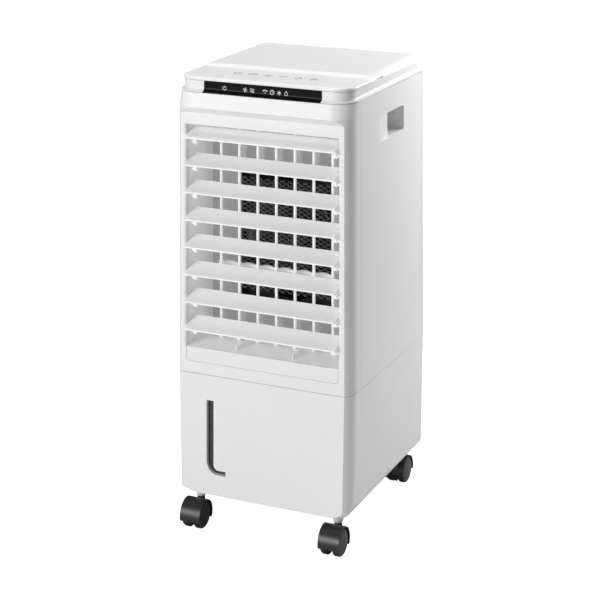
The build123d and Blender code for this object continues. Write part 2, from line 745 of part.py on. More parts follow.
with BuildPart() as louver_frame:
    with BuildSketch(Plane.XZ.offset(-FLAT_FRONT)):
        add(opening_outline(-FRAME_FIT))
    extrude(amount=-WALL)
    box_between(
        (-OPENING_HALF + FRAME_FIT, FLAT_FRONT, SHELF_TOP - SKIN),
        (OPENING_HALF - FRAME_FIT, CHEEK_FRONT, SHELF_TOP),
    )
    box_between(
        (-OPENING_HALF - CHEEK, CHEEK_FRONT, SHELF_TOP - SKIN),
        (OPENING_HALF + CHEEK, FRAME_REAR, ROOF_TOP),
    )
    box_between(
        (-OPENING_HALF, FLAT_FRONT - 1, SHELF_TOP), (OPENING_HALF, FRAME_REAR + 1, OPENING_TOP),
        Mode.SUBTRACT,
    )
    for side in (-1, 1):
        box_between(
            (side * RIB_X - RIB_HALF, RIB_FRONT, SHELF_TOP - 1),
            (side * RIB_X + RIB_HALF, VANE_PIVOT_Y - 12, SHELF_TOP + RIB_TALL),
        )
    with BuildSketch(Plane.YZ):
        with Locations(*[(BLADE_PIVOT_Y, z) for z in blade_pivots]):
            Circle(BLADE_PIN_R + PIN_FIT)
    extrude(amount=BIG, both=True, mode=Mode.SUBTRACT)
    with BuildSketch(Plane.XY):
        with Locations(*[(x, VANE_PIVOT_Y) for x in vane_xs]):
            Circle(VANE_PIN_R + PIN_FIT)
    extrude(amount=BIG * 2, mode=Mode.SUBTRACT)
louver_frame.part.label = "louver_frame"
export_step(louver_frame.part, "parts/louver_frame.step")

# Louver blades: eight sloped plates on hanging ears, turning on pins in the cheeks.
slope = radians(BLADE_SLOPE)
CRANK_Y = BLADE_PIVOT_Y + CRANK_BACK
CRANK_EYE_R = 2.6
EAR_FRONT_Y = BLADE_PIVOT_Y - 6.0
EAR_REAR_Y = BLADE_PIVOT_Y + 6.0
LINK_NOTCH_Y = BLADE_PIVOT_Y - 2.5
LINK_NOTCH_X = BLADE_LINK_X - 0.9


def louver_blade(edge_z):
    """Blade whose lower front edge is at edge_z, notched at its rear right for the link bar."""
    pivot_z = edge_z - BLADE_PIVOT_DROP
    rise = sin(slope) / cos(slope)
    blade_plane = Plane(
        origin=(0, BLADE_EDGE_Y, edge_z), x_dir=(0, cos(slope), sin(slope)), z_dir=(1, 0, 0)
    )
    root_front = edge_z + (EAR_FRONT_Y - BLADE_EDGE_Y) * rise + BLADE_THICK / 2
    with BuildPart() as blade:
        with BuildSketch(blade_plane):
            with Locations((BLADE_DEPTH / 2, BLADE_THICK / 2)):
                SlotOverall(BLADE_DEPTH, BLADE_THICK)
        extrude(amount=BLADE_HALF, both=True)
        box_between(
            (LINK_NOTCH_X, LINK_NOTCH_Y, edge_z - 20), (BIG, BIG, edge_z + 40), Mode.SUBTRACT
        )
        for side in (-1, 1):
            low_rear = CRANK_Y + CRANK_EYE_R if side > 0 else BLADE_PIVOT_Y + EAR_R
            high_rear = low_rear if side > 0 else EAR_REAR_Y
            root_rear = edge_z + (high_rear - BLADE_EDGE_Y) * rise + BLADE_THICK / 2
            with BuildSketch(Plane.YZ.offset(side * EAR_IN)):
                Polygon(
                    (EAR_FRONT_Y, root_front), (BLADE_PIVOT_Y - EAR_R, pivot_z),
                    (low_rear, pivot_z), (high_rear, root_rear), align=None,
                )
                with Locations((BLADE_PIVOT_Y, pivot_z)):
                    Circle(EAR_R)
                if side > 0:
                    with Locations((CRANK_Y, pivot_z)):
                        Circle(CRANK_EYE_R)
            extrude(amount=side * (EAR_OUT - EAR_IN))
            with BuildSketch(Plane.YZ.offset(side * EAR_IN)):
                with Locations((BLADE_PIVOT_Y, pivot_z)):
                    Circle(BLADE_PIN_R)
            extrude(amount=side * (OPENING_HALF + CHEEK - 0.1 - EAR_IN))
        with BuildSketch(Plane.YZ.offset(EAR_IN)):
            with Locations((CRANK_Y, pivot_z)):
                Circle(CRANK_PIN_R)
        extrude(amount=BLADE_LINK_X + BLADE_LINK_THICK - 0.2 - EAR_IN)
    return blade.part


for number, edge_z in enumerate(blade_edges, start=1):
    blade_part = louver_blade(edge_z)
    blade_part.label = f"louver_blade_{number}"
    export_step(blade_part, f"parts/louver_blade_{number}.step")

# Blade link: upright bar that joins the crank pins of all the blades.
LINK_HALF = 2.8
with BuildPart() as blade_link:
    with BuildSketch(Plane.YZ.offset(BLADE_LINK_X)):
        with Locations((CRANK_Y, (blade_pivots[0] + blade_pivots[-1]) / 2)):
            SlotCenterToCenter(blade_pivots[0] - blade_pivots[-1], 2 * LINK_HALF, rotation=90)
        with Locations(*[(CRANK_Y, z) for z in blade_pivots]):
            Circle(CRANK_PIN_R + PIN_FIT, mode=Mode.SUBTRACT)
    extrude(amount=BLADE_LINK_THICK)
blade_link.part.label = "blade_link"
export_step(blade_link.part, "parts/blade_link.step")

# Swing vanes: seven upright plates, each turned to the same rest angle about its own pins.
SWING_MOTOR_R = 14.0
DRIVEN_VANE = VANE_COUNT // 2
LINK_RING_R = 3.3
LINK_PIN_R = 1.3
vane_angle = radians(VANE_REST)
link_dx = -VANE_LINK_BACK * sin(vane_angle)
link_dy = VANE_LINK_BACK * cos(vane_angle)


def swing_vane(pivot_x, driven):
    """Vane with a notch in its rear edge, bridged by the pin that carries the tie bar."""
    vane_plane = Plane(
        origin=(pivot_x, VANE_PIVOT_Y, 0),
        x_dir=(cos(vane_angle), sin(vane_angle), 0), z_dir=(0, 0, 1),
    )
    notch_half = VANE_NOTCH / 2
    with BuildPart(vane_plane) as vane:
        with BuildSketch(vane_plane.offset(VANE_LOW)):
            with Locations((0, VANE_CHORD / 2 - VANE_FRONT)):
                SlotOverall(VANE_CHORD, VANE_THICK, rotation=90)
        extrude(amount=VANE_HIGH - VANE_LOW)
        with BuildSketch(vane_plane.offset(VANE_LINK_Z - notch_half)):
            with Locations((0, VANE_LINK_BACK + 5)):
                Rectangle(10, 20)
        extrude(amount=VANE_NOTCH, mode=Mode.SUBTRACT)
        with BuildSketch(vane_plane.offset(VANE_LINK_Z - notch_half - 1)):
            with Locations((0, VANE_LINK_BACK)):
                Circle(LINK_PIN_R)
        extrude(amount=VANE_NOTCH + 2)
        with BuildSketch(vane_plane.offset(SHELF_TOP + SEAM)):
            Circle(VANE_PIN_R + 1)
        extrude(amount=VANE_LOW - SHELF_TOP - SEAM + 1)
        with BuildSketch(vane_plane.offset(SHELF_TOP - SKIN + 0.2)):
            Circle(VANE_PIN_R)
        extrude(amount=ROOF_TOP - 0.2 - SHELF_TOP + SKIN - 0.2)
        if driven:
            with BuildSketch(vane_plane.offset(SHELF_TOP - SKIN - 7)):
                Circle(VANE_PIN_R)
            extrude(amount=8)
    return vane.part


for index, pivot_x in enumerate(vane_xs):
    vane_part = swing_vane(pivot_x, index == DRIVEN_VANE)
    vane_part.label = f"swing_vane_{index + 1}"
    export_step(vane_part, f"parts/swing_vane_{index + 1}.step")

# Vane tie bar: rings on the vane pins, joined by a slim bar that bows up between them.
tie_y = VANE_PIVOT_Y + link_dy
tie_low = VANE_LINK_Z - VANE_LINK_TALL / 2
TIE_HALF_Y = 1.2
ARCH_HALF_Y = 2.2
ARCH_SETBACK = 5.5
ARCH_RISE = 1.4
with BuildPart() as vane_tie_bar:
    with BuildSketch(Plane.XY.offset(tie_low)):
        with Locations(*[(x + link_dx, tie_y) for x in vane_xs]):
            Circle(LINK_RING_R)
    extrude(amount=VANE_LINK_TALL)
    box_between(
        (vane_xs[0] + link_dx, tie_y - TIE_HALF_Y, tie_low),
        (vane_xs[-1] + link_dx, tie_y + TIE_HALF_Y, tie_low + VANE_LINK_TALL),
    )
    with BuildSketch(Plane.XZ.offset(-tie_y)):
        for x in vane_xs[:-1]:
            left = x + link_dx + ARCH_SETBACK
            right = x + link_dx + VANE_PITCH - ARCH_SETBACK
            top = tie_low + VANE_LINK_TALL
            with BuildLine():
                ThreePointArc((left, top), ((left + right) / 2, top + ARCH_RISE), (right, top))
                Line((right, top), (right, tie_low))
                ThreePointArc((right, tie_low), ((left + right) / 2, tie_low + 1), (left, tie_low))
                Line((left, tie_low), (left, top))
            make_face()
    extrude(amount=ARCH_HALF_Y, both=True)
    with BuildSketch(Plane.XY.offset(tie_low - 1)):
        with Locations(*[(x + link_dx, tie_y) for x in vane_xs]):
            Circle(LINK_PIN_R + PIN_FIT)
    extrude(amount=VANE_LINK_TALL + 2, mode=Mode.SUBTRACT)
vane_tie_bar.part.label = "vane_tie_bar"
export_step(vane_tie_bar.part, "parts/vane_tie_bar.step")

# Swing motor: small stepper under the shelf that turns the middle vane.
SWING_MOTOR_TALL = 19.0
SWING_MOTOR_BACK = 8.0
SWING_EAR_SPAN = 35.0
SWING_EAR_WIDE = 7.0
SWING_EAR_THICK = 1.0
SWING_BORE_DEEP = 9.0
swing_top = SHELF_TOP - SKIN - 0.2
with BuildPart() as swing_motor:
    with BuildSketch(Plane.XY.offset(swing_top)):
        with Locations((0, VANE_PIVOT_Y + SWING_MOTOR_BACK)):
            Circle(SWING_MOTOR_R)
    extrude(amount=-SWING_MOTOR_TALL)
    with BuildSketch(Plane.XY.offset(swing_top)):
        with Locations((0, VANE_PIVOT_Y + SWING_MOTOR_BACK)):
            SlotCenterToCenter(SWING_EAR_SPAN, SWING_EAR_WIDE)
    extrude(amount=-SWING_EAR_THICK)
    with BuildSketch(Plane.XY.offset(swing_top + 1)):
        with Locations((0, VANE_PIVOT_Y)):
            Circle(VANE_PIN_R + PIN_FIT)
    extrude(amount=-SWING_BORE_DEEP, mode=Mode.SUBTRACT)
swing_motor.part.label = "swing_motor"
export_step(swing_motor.part, "parts/swing_motor.step")

# Air duct: outlet wall with a square mouth, closed back to the fan shroud.
DUCT_REAR = SHROUD_FRONT - 0.3
with BuildPart() as air_duct:
    box_between(
        (-OPENING_HALF - CHEEK, DUCT_FRONT, SHELF_TOP - SKIN),
        (OPENING_HALF + CHEEK, DUCT_FRONT + SKIN, ROOF_TOP),
    )
    box_between(
        (-MOUTH_HALF_X - SKIN, DUCT_FRONT, FAN_Z - MOUTH_HALF_Z - SKIN),
        (MOUTH_HALF_X + SKIN, DUCT_REAR, FAN_Z + MOUTH_HALF_Z + SKIN),
    )
    box_between(
        (-MOUTH_HALF_X, DUCT_FRONT - 1, FAN_Z - MOUTH_HALF_Z),
        (MOUTH_HALF_X, DUCT_REAR + 1, FAN_Z + MOUTH_HALF_Z), Mode.SUBTRACT,
    )
air_duct.part.label = "air_duct"
export_step(air_duct.part, "parts/air_duct.step")

# Outlet guard: crossed diagonal wires inside a slim frame, set in the duct mouth.
GUARD_RIM = 2.0
GUARD_RIM_DEEP = 3.0
GUARD_FRONT = DUCT_FRONT + 1.0
guard_half_x = MOUTH_HALF_X - 0.2
guard_half_z = MOUTH_HALF_Z - 0.2
wire_step = GUARD_PITCH / sin(radians(GUARD_ANGLE))
wire_long = 2 * (guard_half_x + guard_half_z)
wire_reach = guard_half_x + guard_half_z / sin(radians(GUARD_ANGLE)) * cos(radians(GUARD_ANGLE))
wire_count = 2 * int(wire_reach / wire_step) + 1
with BuildPart() as outlet_guard:
    for lean in (-1, 1):
        with BuildSketch(Plane.XZ.offset(-GUARD_FRONT - (lean + 1) * GUARD_WIRE / 2)):
            with Locations((0, FAN_Z)):
                with GridLocations(wire_step, 1, wire_count, 1):
                    Rectangle(wire_long, GUARD_WIRE, rotation=lean * GUARD_ANGLE)
            with Locations((0, FAN_Z)):
                Rectangle(2 * guard_half_x - 1, 2 * guard_half_z - 1, mode=Mode.INTERSECT)
        extrude(amount=-GUARD_WIRE)
    with BuildSketch(Plane.XZ.offset(-GUARD_FRONT)):
        with Locations((0, FAN_Z)):
            Rectangle(2 * guard_half_x, 2 * guard_half_z)
            Rectangle(2 * (guard_half_x - GUARD_RIM), 2 * (guard_half_z - GUARD_RIM),
                      mode=Mode.SUBTRACT)
    extrude(amount=-GUARD_RIM_DEEP)
outlet_guard.part.label = "outlet_guard"
export_step(outlet_guard.part, "parts/outlet_guard.step")

# Fan shroud: black plate with a throat that lines the duct mouth, a ring around the fan and
# a three-arm motor mount behind it.
THROAT_WALL = 1.4
SHROUD_PLATE = 3.0
SHROUD_RING = 3.0
fan_plane = Plane.XZ.offset(-SHROUD_FRONT)
ARM_HALF = 5.0
MOUNT_Y = SHROUD_FRONT + SHROUD_DEPTH
with BuildPart() as fan_shroud:
    box_between(
        (-SHROUD_HALF, SHROUD_FRONT, FAN_Z - SHROUD_HALF - 2),
        (SHROUD_HALF, SHROUD_FRONT + SHROUD_PLATE, FAN_Z + SHROUD_HALF + 2),
    )
    box_between(
        (-guard_half_x, GUARD_FRONT + GUARD_RIM_DEEP + SEAM, FAN_Z - guard_half_z),
        (guard_half_x, SHROUD_FRONT + 1, FAN_Z + guard_half_z),
    )
    box_between(
        (-guard_half_x + THROAT_WALL, GUARD_FRONT, FAN_Z - guard_half_z + THROAT_WALL),
        (guard_half_x - THROAT_WALL, SHROUD_FRONT, FAN_Z + guard_half_z - THROAT_WALL),
        Mode.SUBTRACT,
    )
    with BuildSketch(fan_plane):
        with Locations((0, FAN_Z)):
            Circle(SHROUD_BORE + SHROUD_RING)
    extrude(amount=-SHROUD_DEPTH)
    with BuildSketch(Plane.XZ.offset(-SHROUD_FRONT + 1)):
        with Locations((0, FAN_Z)):
            Circle(SHROUD_BORE)
    extrude(amount=-SHROUD_DEPTH - 2, mode=Mode.SUBTRACT)
    with BuildSketch(Plane.XZ.offset(-MOUNT_Y + 4)):
        with Locations((0, FAN_Z)):
            Circle(MOTOR_RADIUS - 4)
            with PolarLocations((SHROUD_BORE + 2) / 2, 3, start_angle=90):
                Rectangle(SHROUD_BORE + 2, 2 * ARM_HALF)
            Circle(HUB_RADIUS - 12, mode=Mode.SUBTRACT)
    extrude(amount=-4)
fan_shroud.part.label = "fan_shroud"
export_step(fan_shroud.part, "parts/fan_shroud.step")

# Fan wheel: hub with five pitched blades.
FAN_FRONT = SHROUD_FRONT + 4
FAN_DEPTH = 24.0
FAN_PITCH_ANGLE = 28.0
FAN_ROOT_HALF = 11.0
SHAFT_START = 8.0
SHAFT_FIT = 0.02
FAN_TIP_HALF = 26.0
root_x = HUB_RADIUS - 4
tip_x = sqrt((FAN_RADIUS - 1) ** 2 - FAN_TIP_HALF ** 2)
with BuildPart() as fan_wheel:
    with BuildSketch(Plane.XZ.offset(-FAN_FRONT)):
        with Locations((0, FAN_Z)):
            Circle(HUB_RADIUS)
    extrude(amount=-FAN_DEPTH)
    fillet(fan_wheel.faces().sort_by(Axis.Y)[0].edges(), 4)
    for index in range(FAN_BLADES):
        turn = radians(360 / FAN_BLADES * index)
        pitched = radians(FAN_PITCH_ANGLE)
        root_plane = Plane(
            origin=(0, FAN_FRONT + FAN_DEPTH / 2, FAN_Z),
            x_dir=(cos(turn), 0, sin(turn)),
            z_dir=(-sin(turn) * sin(pitched), cos(pitched), cos(turn) * sin(pitched)),
        )
        with BuildSketch(root_plane.offset(-1)):
            with BuildLine():
                Line((root_x, -FAN_ROOT_HALF), (tip_x, -FAN_TIP_HALF))
                ThreePointArc((tip_x, -FAN_TIP_HALF), (FAN_RADIUS - 1, 0), (tip_x, FAN_TIP_HALF))
                Line((tip_x, FAN_TIP_HALF), (root_x, FAN_ROOT_HALF))
                Line((root_x, FAN_ROOT_HALF), (root_x, -FAN_ROOT_HALF))
            make_face()
        extrude(amount=2)
    with BuildSketch(Plane.XZ.offset(-FAN_FRONT - SHAFT_START)):
        with Locations((0, FAN_Z)):
            Circle(SHAFT_R + SHAFT_FIT)
    extrude(amount=-FAN_DEPTH, mode=Mode.SUBTRACT)
fan_wheel.part.label = "fan_wheel"
export_step(fan_wheel.part, "parts/fan_wheel.step")

# Fan shaft: pressed in the fan hub, running in the motor.
with BuildPart() as fan_shaft:
    with BuildSketch(Plane.XZ.offset(-FAN_FRONT - SHAFT_START - 0.2)):
        with Locations((0, FAN_Z)):
            Circle(SHAFT_R)
    extrude(amount=-(MOTOR_FRONT + 30 - FAN_FRONT - SHAFT_START))
fan_shaft.part.label = "fan_shaft"
export_step(fan_shaft.part, "parts/fan_shaft.step")

# Fan motor behind the mount, bored for the shaft.
with BuildPart() as fan_motor:
    with BuildSketch(Plane.XZ.offset(-MOUNT_Y - 0.1)):
        with Locations((0, FAN_Z)):
            Circle(MOTOR_RADIUS - 8)
    extrude(amount=-(MOTOR_FRONT - MOUNT_Y))
    with BuildSketch(Plane.XZ.offset(-MOTOR_FRONT)):
        with Locations((0, FAN_Z)):
            Circle(MOTOR_RADIUS)
    extrude(amount=-MOTOR_LENGTH)
    fillet(fan_motor.faces().sort_by(Axis.Y)[-1].edges(), 6)
    with BuildSketch(Plane.XZ.offset(-MOUNT_Y + 1)):
        with Locations((0, FAN_Z)):
            Circle(SHAFT_R + PIN_FIT)
    extrude(amount=-(MOTOR_FRONT + 32 - MOUNT_Y), mode=Mode.SUBTRACT)
fan_motor.part.label = "fan_motor"
export_step(fan_motor.part, "parts/fan_motor.step")

# Pad frame: open box that carries the cooling pad.
FRAME_WALL = 3.0
with BuildPart() as pad_frame:
    box_between(
        (-PAD_HALF - FRAME_WALL - 0.3, PAD_FRONT - 2, PAD_LOW - FRAME_WALL - 0.3),
        (PAD_HALF + FRAME_WALL + 0.3, PAD_FRONT + PAD_DEPTH + 2, PAD_HIGH),
    )
    box_between(
        (-PAD_HALF - 0.3, PAD_FRONT - 0.3, PAD_LOW - 0.3),
        (PAD_HALF + 0.3, PAD_FRONT + PAD_DEPTH + 0.3, BIG * 2), Mode.SUBTRACT,
    )
    box_between(
        (-PAD_HALF + 6, 0, PAD_LOW + 6), (PAD_HALF - 6, BIG, PAD_HIGH - 8), Mode.SUBTRACT
    )
pad_frame.part.label = "pad_frame"
export_step(pad_frame.part, "parts/pad_frame.step")

# Cooling pad: soft block of corrugated paper, plain here.
with BuildPart() as cooling_pad:
    box_between((-PAD_HALF, PAD_FRONT, PAD_LOW), (PAD_HALF, PAD_FRONT + PAD_DEPTH, PAD_HIGH))
cooling_pad.part.label = "cooling_pad"
export_step(cooling_pad.part, "parts/cooling_pad.step")

# Water tray over the pad, with a row of drip holes.
TRAY_LOW = PAD_HIGH + 1.0
TRAY_TALL = 26.0
TRAY_MARGIN = 6.0
TRAY_ENDS = 4.0
TRAY_WALL = 2.0
DRIP_R = 1.5
DRIP_PITCH = 20.0
DRIP_COUNT = 10
with BuildPart() as water_tray:
    box_between(
        (-PAD_HALF - TRAY_MARGIN, PAD_FRONT - TRAY_ENDS, TRAY_LOW),
        (PAD_HALF + TRAY_MARGIN, PAD_FRONT + PAD_DEPTH + TRAY_ENDS, TRAY_LOW + TRAY_TALL),
    )
    box_between(
        (-PAD_HALF - TRAY_MARGIN + TRAY_WALL, PAD_FRONT - TRAY_ENDS + TRAY_WALL, TRAY_LOW + TRAY_WALL),
        (PAD_HALF + TRAY_MARGIN - TRAY_WALL, PAD_FRONT + PAD_DEPTH + TRAY_ENDS - TRAY_WALL,
         TRAY_LOW + TRAY_TALL + 1), Mode.SUBTRACT,
    )
    with Locations((0, PAD_FRONT + PAD_DEPTH / 2, TRAY_LOW)):
        with GridLocations(DRIP_PITCH, 1, DRIP_COUNT, 1):
            Cylinder(radius=DRIP_R, height=4 * TRAY_WALL, mode=Mode.SUBTRACT)
water_tray.part.label = "water_tray"
export_step(water_tray.part, "parts/water_tray.step")

# Water tube: rises from the pump coupling and ends over the tray.
TUBE_LOW = TANK_SEAM + 3.0
TUBE_TOP = TRAY_LOW + TRAY_TALL + 6.0
with BuildPart() as water_tube:
    with BuildLine() as tube_path:
        FilletPolyline(
            (PUMP_X, PUMP_Y, TUBE_LOW), (PUMP_X, PUMP_Y, TUBE_TOP),
            (PUMP_X, PAD_FRONT + PAD_DEPTH / 2, TUBE_TOP), radius=10,
        )
    with BuildSketch(Plane.XY.offset(TUBE_LOW)):
        with Locations((PUMP_X, PUMP_Y)):
            Circle(TUBE_R)
            Circle(TUBE_R - 1, mode=Mode.SUBTRACT)
    sweep()
    with BuildSketch(Plane.XY.offset(TUBE_LOW)):
        with Locations((PUMP_X, PUMP_Y)):
            Circle(TUBE_R + 3)
            Circle(TUBE_R, mode=Mode.SUBTRACT)
    extrude(amount=8)
water_tube.part.label = "water_tube"
export_step(water_tube.part, "parts/water_tube.step")

# Water tank: open drawer that runs on the two rails of the base.
with BuildPart() as water_tank:
    with BuildSketch(Plane.XY.offset(TANK_LOW)):
        with Locations((0, (TANK_FRONT + TANK_REAR) / 2)):
            RectangleRounded(2 * TANK_HALF, TANK_REAR - TANK_FRONT, 8)
    extrude(amount=TANK_HIGH - TANK_LOW)
    fillet(water_tank.faces().sort_by(Axis.Z)[0].edges(), 5)
    offset(amount=-TANK_WALL, openings=water_tank.faces().sort_by(Axis.Z)[-1])
water_tank.part.label = "water_tank"
export_step(water_tank.part, "parts/water_tank.step")

# Tank door: rear face of the drawer with a finger recess under its top edge.
DOOR_FRONT = TANK_REAR + 0.1
GRIP_HALF = 45.0
GRIP_LOW = 175.5
GRIP_HIGH = 197.5
GRIP_DEPTH = 3.4
GRIP_LIP = 1.4
GRIP_LIP_TALL = 6.0
GRIP_CORNER = 8.0
with BuildPart() as tank_door:
    with BuildSketch(Plane.XZ.offset(-DOOR_FRONT)):
        with Locations((0, (DOOR_LOW + TANK_SEAM) / 2)):
            RectangleRounded(
                2 * (DOOR_HALF - SEAM), TANK_SEAM - DOOR_LOW - 2 * SEAM, 3
            )
    extrude(amount=-(REAR - DOOR_FRONT))
    fillet(tank_door.faces().sort_by(Axis.Y)[-1].edges(), 1.0)
    with BuildSketch(Plane.XZ.offset(-REAR)):
        with Locations((0, (GRIP_LOW + GRIP_HIGH) / 2)):
            RectangleRounded(2 * GRIP_HALF, GRIP_HIGH - GRIP_LOW, GRIP_CORNER)
    extrude(amount=GRIP_DEPTH, mode=Mode.SUBTRACT)
    box_between(
        (-GRIP_HALF + GRIP_CORNER, REAR - GRIP_LIP, GRIP_HIGH - GRIP_LIP_TALL),
        (GRIP_HALF - GRIP_CORNER, REAR, GRIP_HIGH + 1),
    )
tank_door.part.label = "tank_door"
export_step(tank_door.part, "parts/tank_door.step")

# Pump: strainer base, body and outlet spout, standing on the tank floor.
PUMP_LOW = TANK_LOW + TANK_WALL + 0.2
PUMP_BODY = 42.0
PUMP_HALF_X = 16.0
PUMP_HALF_Y = 18.0
STRAINER_HALF_X = 20.0
STRAINER_HALF_Y = 24.0
STRAINER_TALL = 8.0
with BuildPart() as water_pump:
    box_between(
        (PUMP_X - STRAINER_HALF_X, PUMP_Y - STRAINER_HALF_Y, PUMP_LOW),
        (PUMP_X + STRAINER_HALF_X, PUMP_Y + STRAINER_HALF_Y, PUMP_LOW + STRAINER_TALL),
    )
    box_between(
        (PUMP_X - PUMP_HALF_X, PUMP_Y - PUMP_HALF_Y, PUMP_LOW),
        (PUMP_X + PUMP_HALF_X, PUMP_Y + PUMP_HALF_Y, PUMP_LOW + PUMP_BODY),
    )
    fillet(water_pump.edges().filter_by(Axis.Z), 3)
    with Locations((PUMP_X, PUMP_Y, PUMP_LOW + PUMP_BODY - 1)):
        Cylinder(
            radius=TUBE_R + 1, height=TANK_SEAM - PUMP_LOW - PUMP_BODY,
            align=(Align.CENTER, Align.CENTER, Align.MIN),
        )
    with Locations((PUMP_X, PUMP_Y, PUMP_LOW + PUMP_BODY + 2)):
        Cylinder(radius=TUBE_R - 1, height=BIG, mode=Mode.SUBTRACT,
                 align=(Align.CENTER, Align.CENTER, Align.MIN))
water_pump.part.label = "water_pump"
export_step(water_pump.part, "parts/water_pump.step")

# Filter frame: slatted intake grille that pulls straight back off its clips.
SLAT_PITCH = 12.0
SLAT_TALL = 3.4
FILTER_RIM = 9.0
FILTER_FRONT = 125.0
slat_count = int((FILTER_HIGH - FILTER_LOW - 2 * FILTER_RIM) / SLAT_PITCH)
filter_mid = (FILTER_LOW + FILTER_HIGH) / 2
with BuildPart() as filter_frame:
    with BuildSketch(Plane.XZ.offset(-REAR)):
        with Locations((0, filter_mid)):
            RectangleRounded(2 * FILTER_HALF, FILTER_HIGH - FILTER_LOW, 5.5)
            Rectangle(2 * (FILTER_HALF - FILTER_RIM), FILTER_HIGH - FILTER_LOW - 2 * FILTER_RIM,
                      mode=Mode.SUBTRACT)
    extrude(amount=REAR - FILTER_FRONT)
    slat_plane = Plane.XZ.offset(-REAR + 1)
    with BuildSketch(slat_plane):
        with Locations((0, filter_mid)):
            with GridLocations(1, SLAT_PITCH, 1, slat_count):
                Rectangle(2 * FILTER_HALF - FILTER_RIM, SLAT_TALL)
            with GridLocations(2 * (FILTER_HALF - FILTER_RIM) / 3, 1, 2, 1):
                Rectangle(3, FILTER_HIGH - FILTER_LOW - FILTER_RIM)
    extrude(amount=5)
filter_frame.part.label = "filter_frame"
export_step(filter_frame.part, "parts/filter_frame.step")

# Dust filter: thin mesh panel behind the slats, plain here.
with BuildPart() as dust_filter:
    box_between(
        (-FILTER_HALF + FILTER_RIM + 0.2, FILTER_FRONT + 2, FILTER_LOW + FILTER_RIM + 0.2),
        (FILTER_HALF - FILTER_RIM - 0.2, FILTER_FRONT + 4, FILTER_HIGH - FILTER_RIM - 0.2),
    )
dust_filter.part.label = "dust_filter"
export_step(dust_filter.part, "parts/dust_filter.step")

# Power cord: moulded relief, folded lead and moulded plug, hung flat against the back.
PLUG_TOP = 283.0
PLUG_WIDE = 11.0
PLUG_THICK = 6.0
PLUG_LONG = 31.0
PRONG_PITCH = 7.4
PRONG_R = 1.4
PRONG_LONG = 16.0
CORD_START = REAR - 6.0
with BuildPart() as power_cord:
    with BuildLine() as cord_path:
        FilletPolyline(
            (CORD_X, CORD_START, CORD_Z), (CORD_X, CORD_OUT, CORD_Z),
            (CORD_UP_X, CORD_OUT, CORD_Z), (CORD_UP_X, CORD_OUT, CORD_TURN_Z),
            (CORD_DOWN_X, CORD_OUT, CORD_TURN_Z), (CORD_DOWN_X, CORD_OUT, PLUG_TOP),
            radius=4,
        )
    with BuildSketch(Plane.XZ.offset(-CORD_START)):
        with Locations((CORD_X, CORD_Z)):
            Circle(CORD_R)
    sweep()
    with BuildSketch(Plane.XZ.offset(-CORD_START - 1)):
        with Locations((CORD_X, CORD_Z)):
            Circle(CORD_RELIEF_R)
    extrude(amount=-6)
    with BuildSketch(Plane.XY.offset(PLUG_TOP + 1)):
        with Locations((CORD_DOWN_X, CORD_OUT)):
            RectangleRounded(PLUG_WIDE, PLUG_THICK, 2)
    extrude(amount=-PLUG_LONG - 1)
    with BuildSketch(Plane.XY.offset(PLUG_TOP - PLUG_LONG + 1)):
        with Locations((CORD_DOWN_X, CORD_OUT)):
            with GridLocations(PRONG_PITCH, 1, 2, 1):
                Circle(PRONG_R)
    extrude(amount=-PRONG_LONG - 1)
power_cord.part.label = "power_cord"
export_step(power_cord.part, "parts/power_cord.step")

# Caster sockets: four pale collars in the base, one separate solid each.
COLLAR_TIP_R = 5.5
COLLAR_CONE = 3.5
with BuildPart() as caster_sockets:
    for x, y in STEM_PLACES:
        with Locations((x, y, SOCKET_LOW)):
            Cone(
                bottom_radius=COLLAR_TIP_R, top_radius=SOCKET_R, height=COLLAR_CONE,
                align=(Align.CENTER, Align.CENTER, Align.MIN),
            )
        with Locations((x, y, SOCKET_LOW + COLLAR_CONE)):
            Cylinder(
                radius=SOCKET_R, height=SOCKET_HIGH - SOCKET_LOW - COLLAR_CONE,
                align=(Align.CENTER, Align.CENTER, Align.MIN),
            )
        with Locations((x, y, SOCKET_LOW)):
            Cylinder(
                radius=STEM_R + PIN_FIT, height=SOCKET_HIGH - SOCKET_LOW - 2, mode=Mode.SUBTRACT,
                align=(Align.CENTER, Align.CENTER, Align.MIN),
            )
caster_sockets.part.label = "caster_sockets"
export_step(caster_sockets.part, "parts/caster_sockets.step")

# Casters: hood and stem swivel in the socket; two wheels turn on the cross axle.
hood_inner = WHEEL_R + HOOD_GAP
hood_outer = hood_inner + HOOD_SKIN
HOOD_FROM = -28.0
HOOD_TO = 196.0
WEB_FROM = -40.0
WEB_TO = 180.0
WEB_HALF = 3.4
BOSS_R = 5.25
BOSS_LOW = 27.0
TREAD_OUT = 10.5
SHOULDER_OUT = 14.0
SHOULDER_DROP = 4.5
HUB_FLAT_R = 2.0
AXLE_END = WHEEL_OUT - 3.0


def hood_arc(radius, start_deg, end_deg):
    """Arc about the axle from start to end, measured from the stem side over the top."""
    middle_deg = (start_deg + end_deg) / 2
    points = [
        (-TRAIL + radius * cos(radians(a)), WHEEL_R + radius * sin(radians(a)))
        for a in (start_deg, middle_deg, end_deg)
    ]
    ThreePointArc(*points)
    return points[0], points[2]


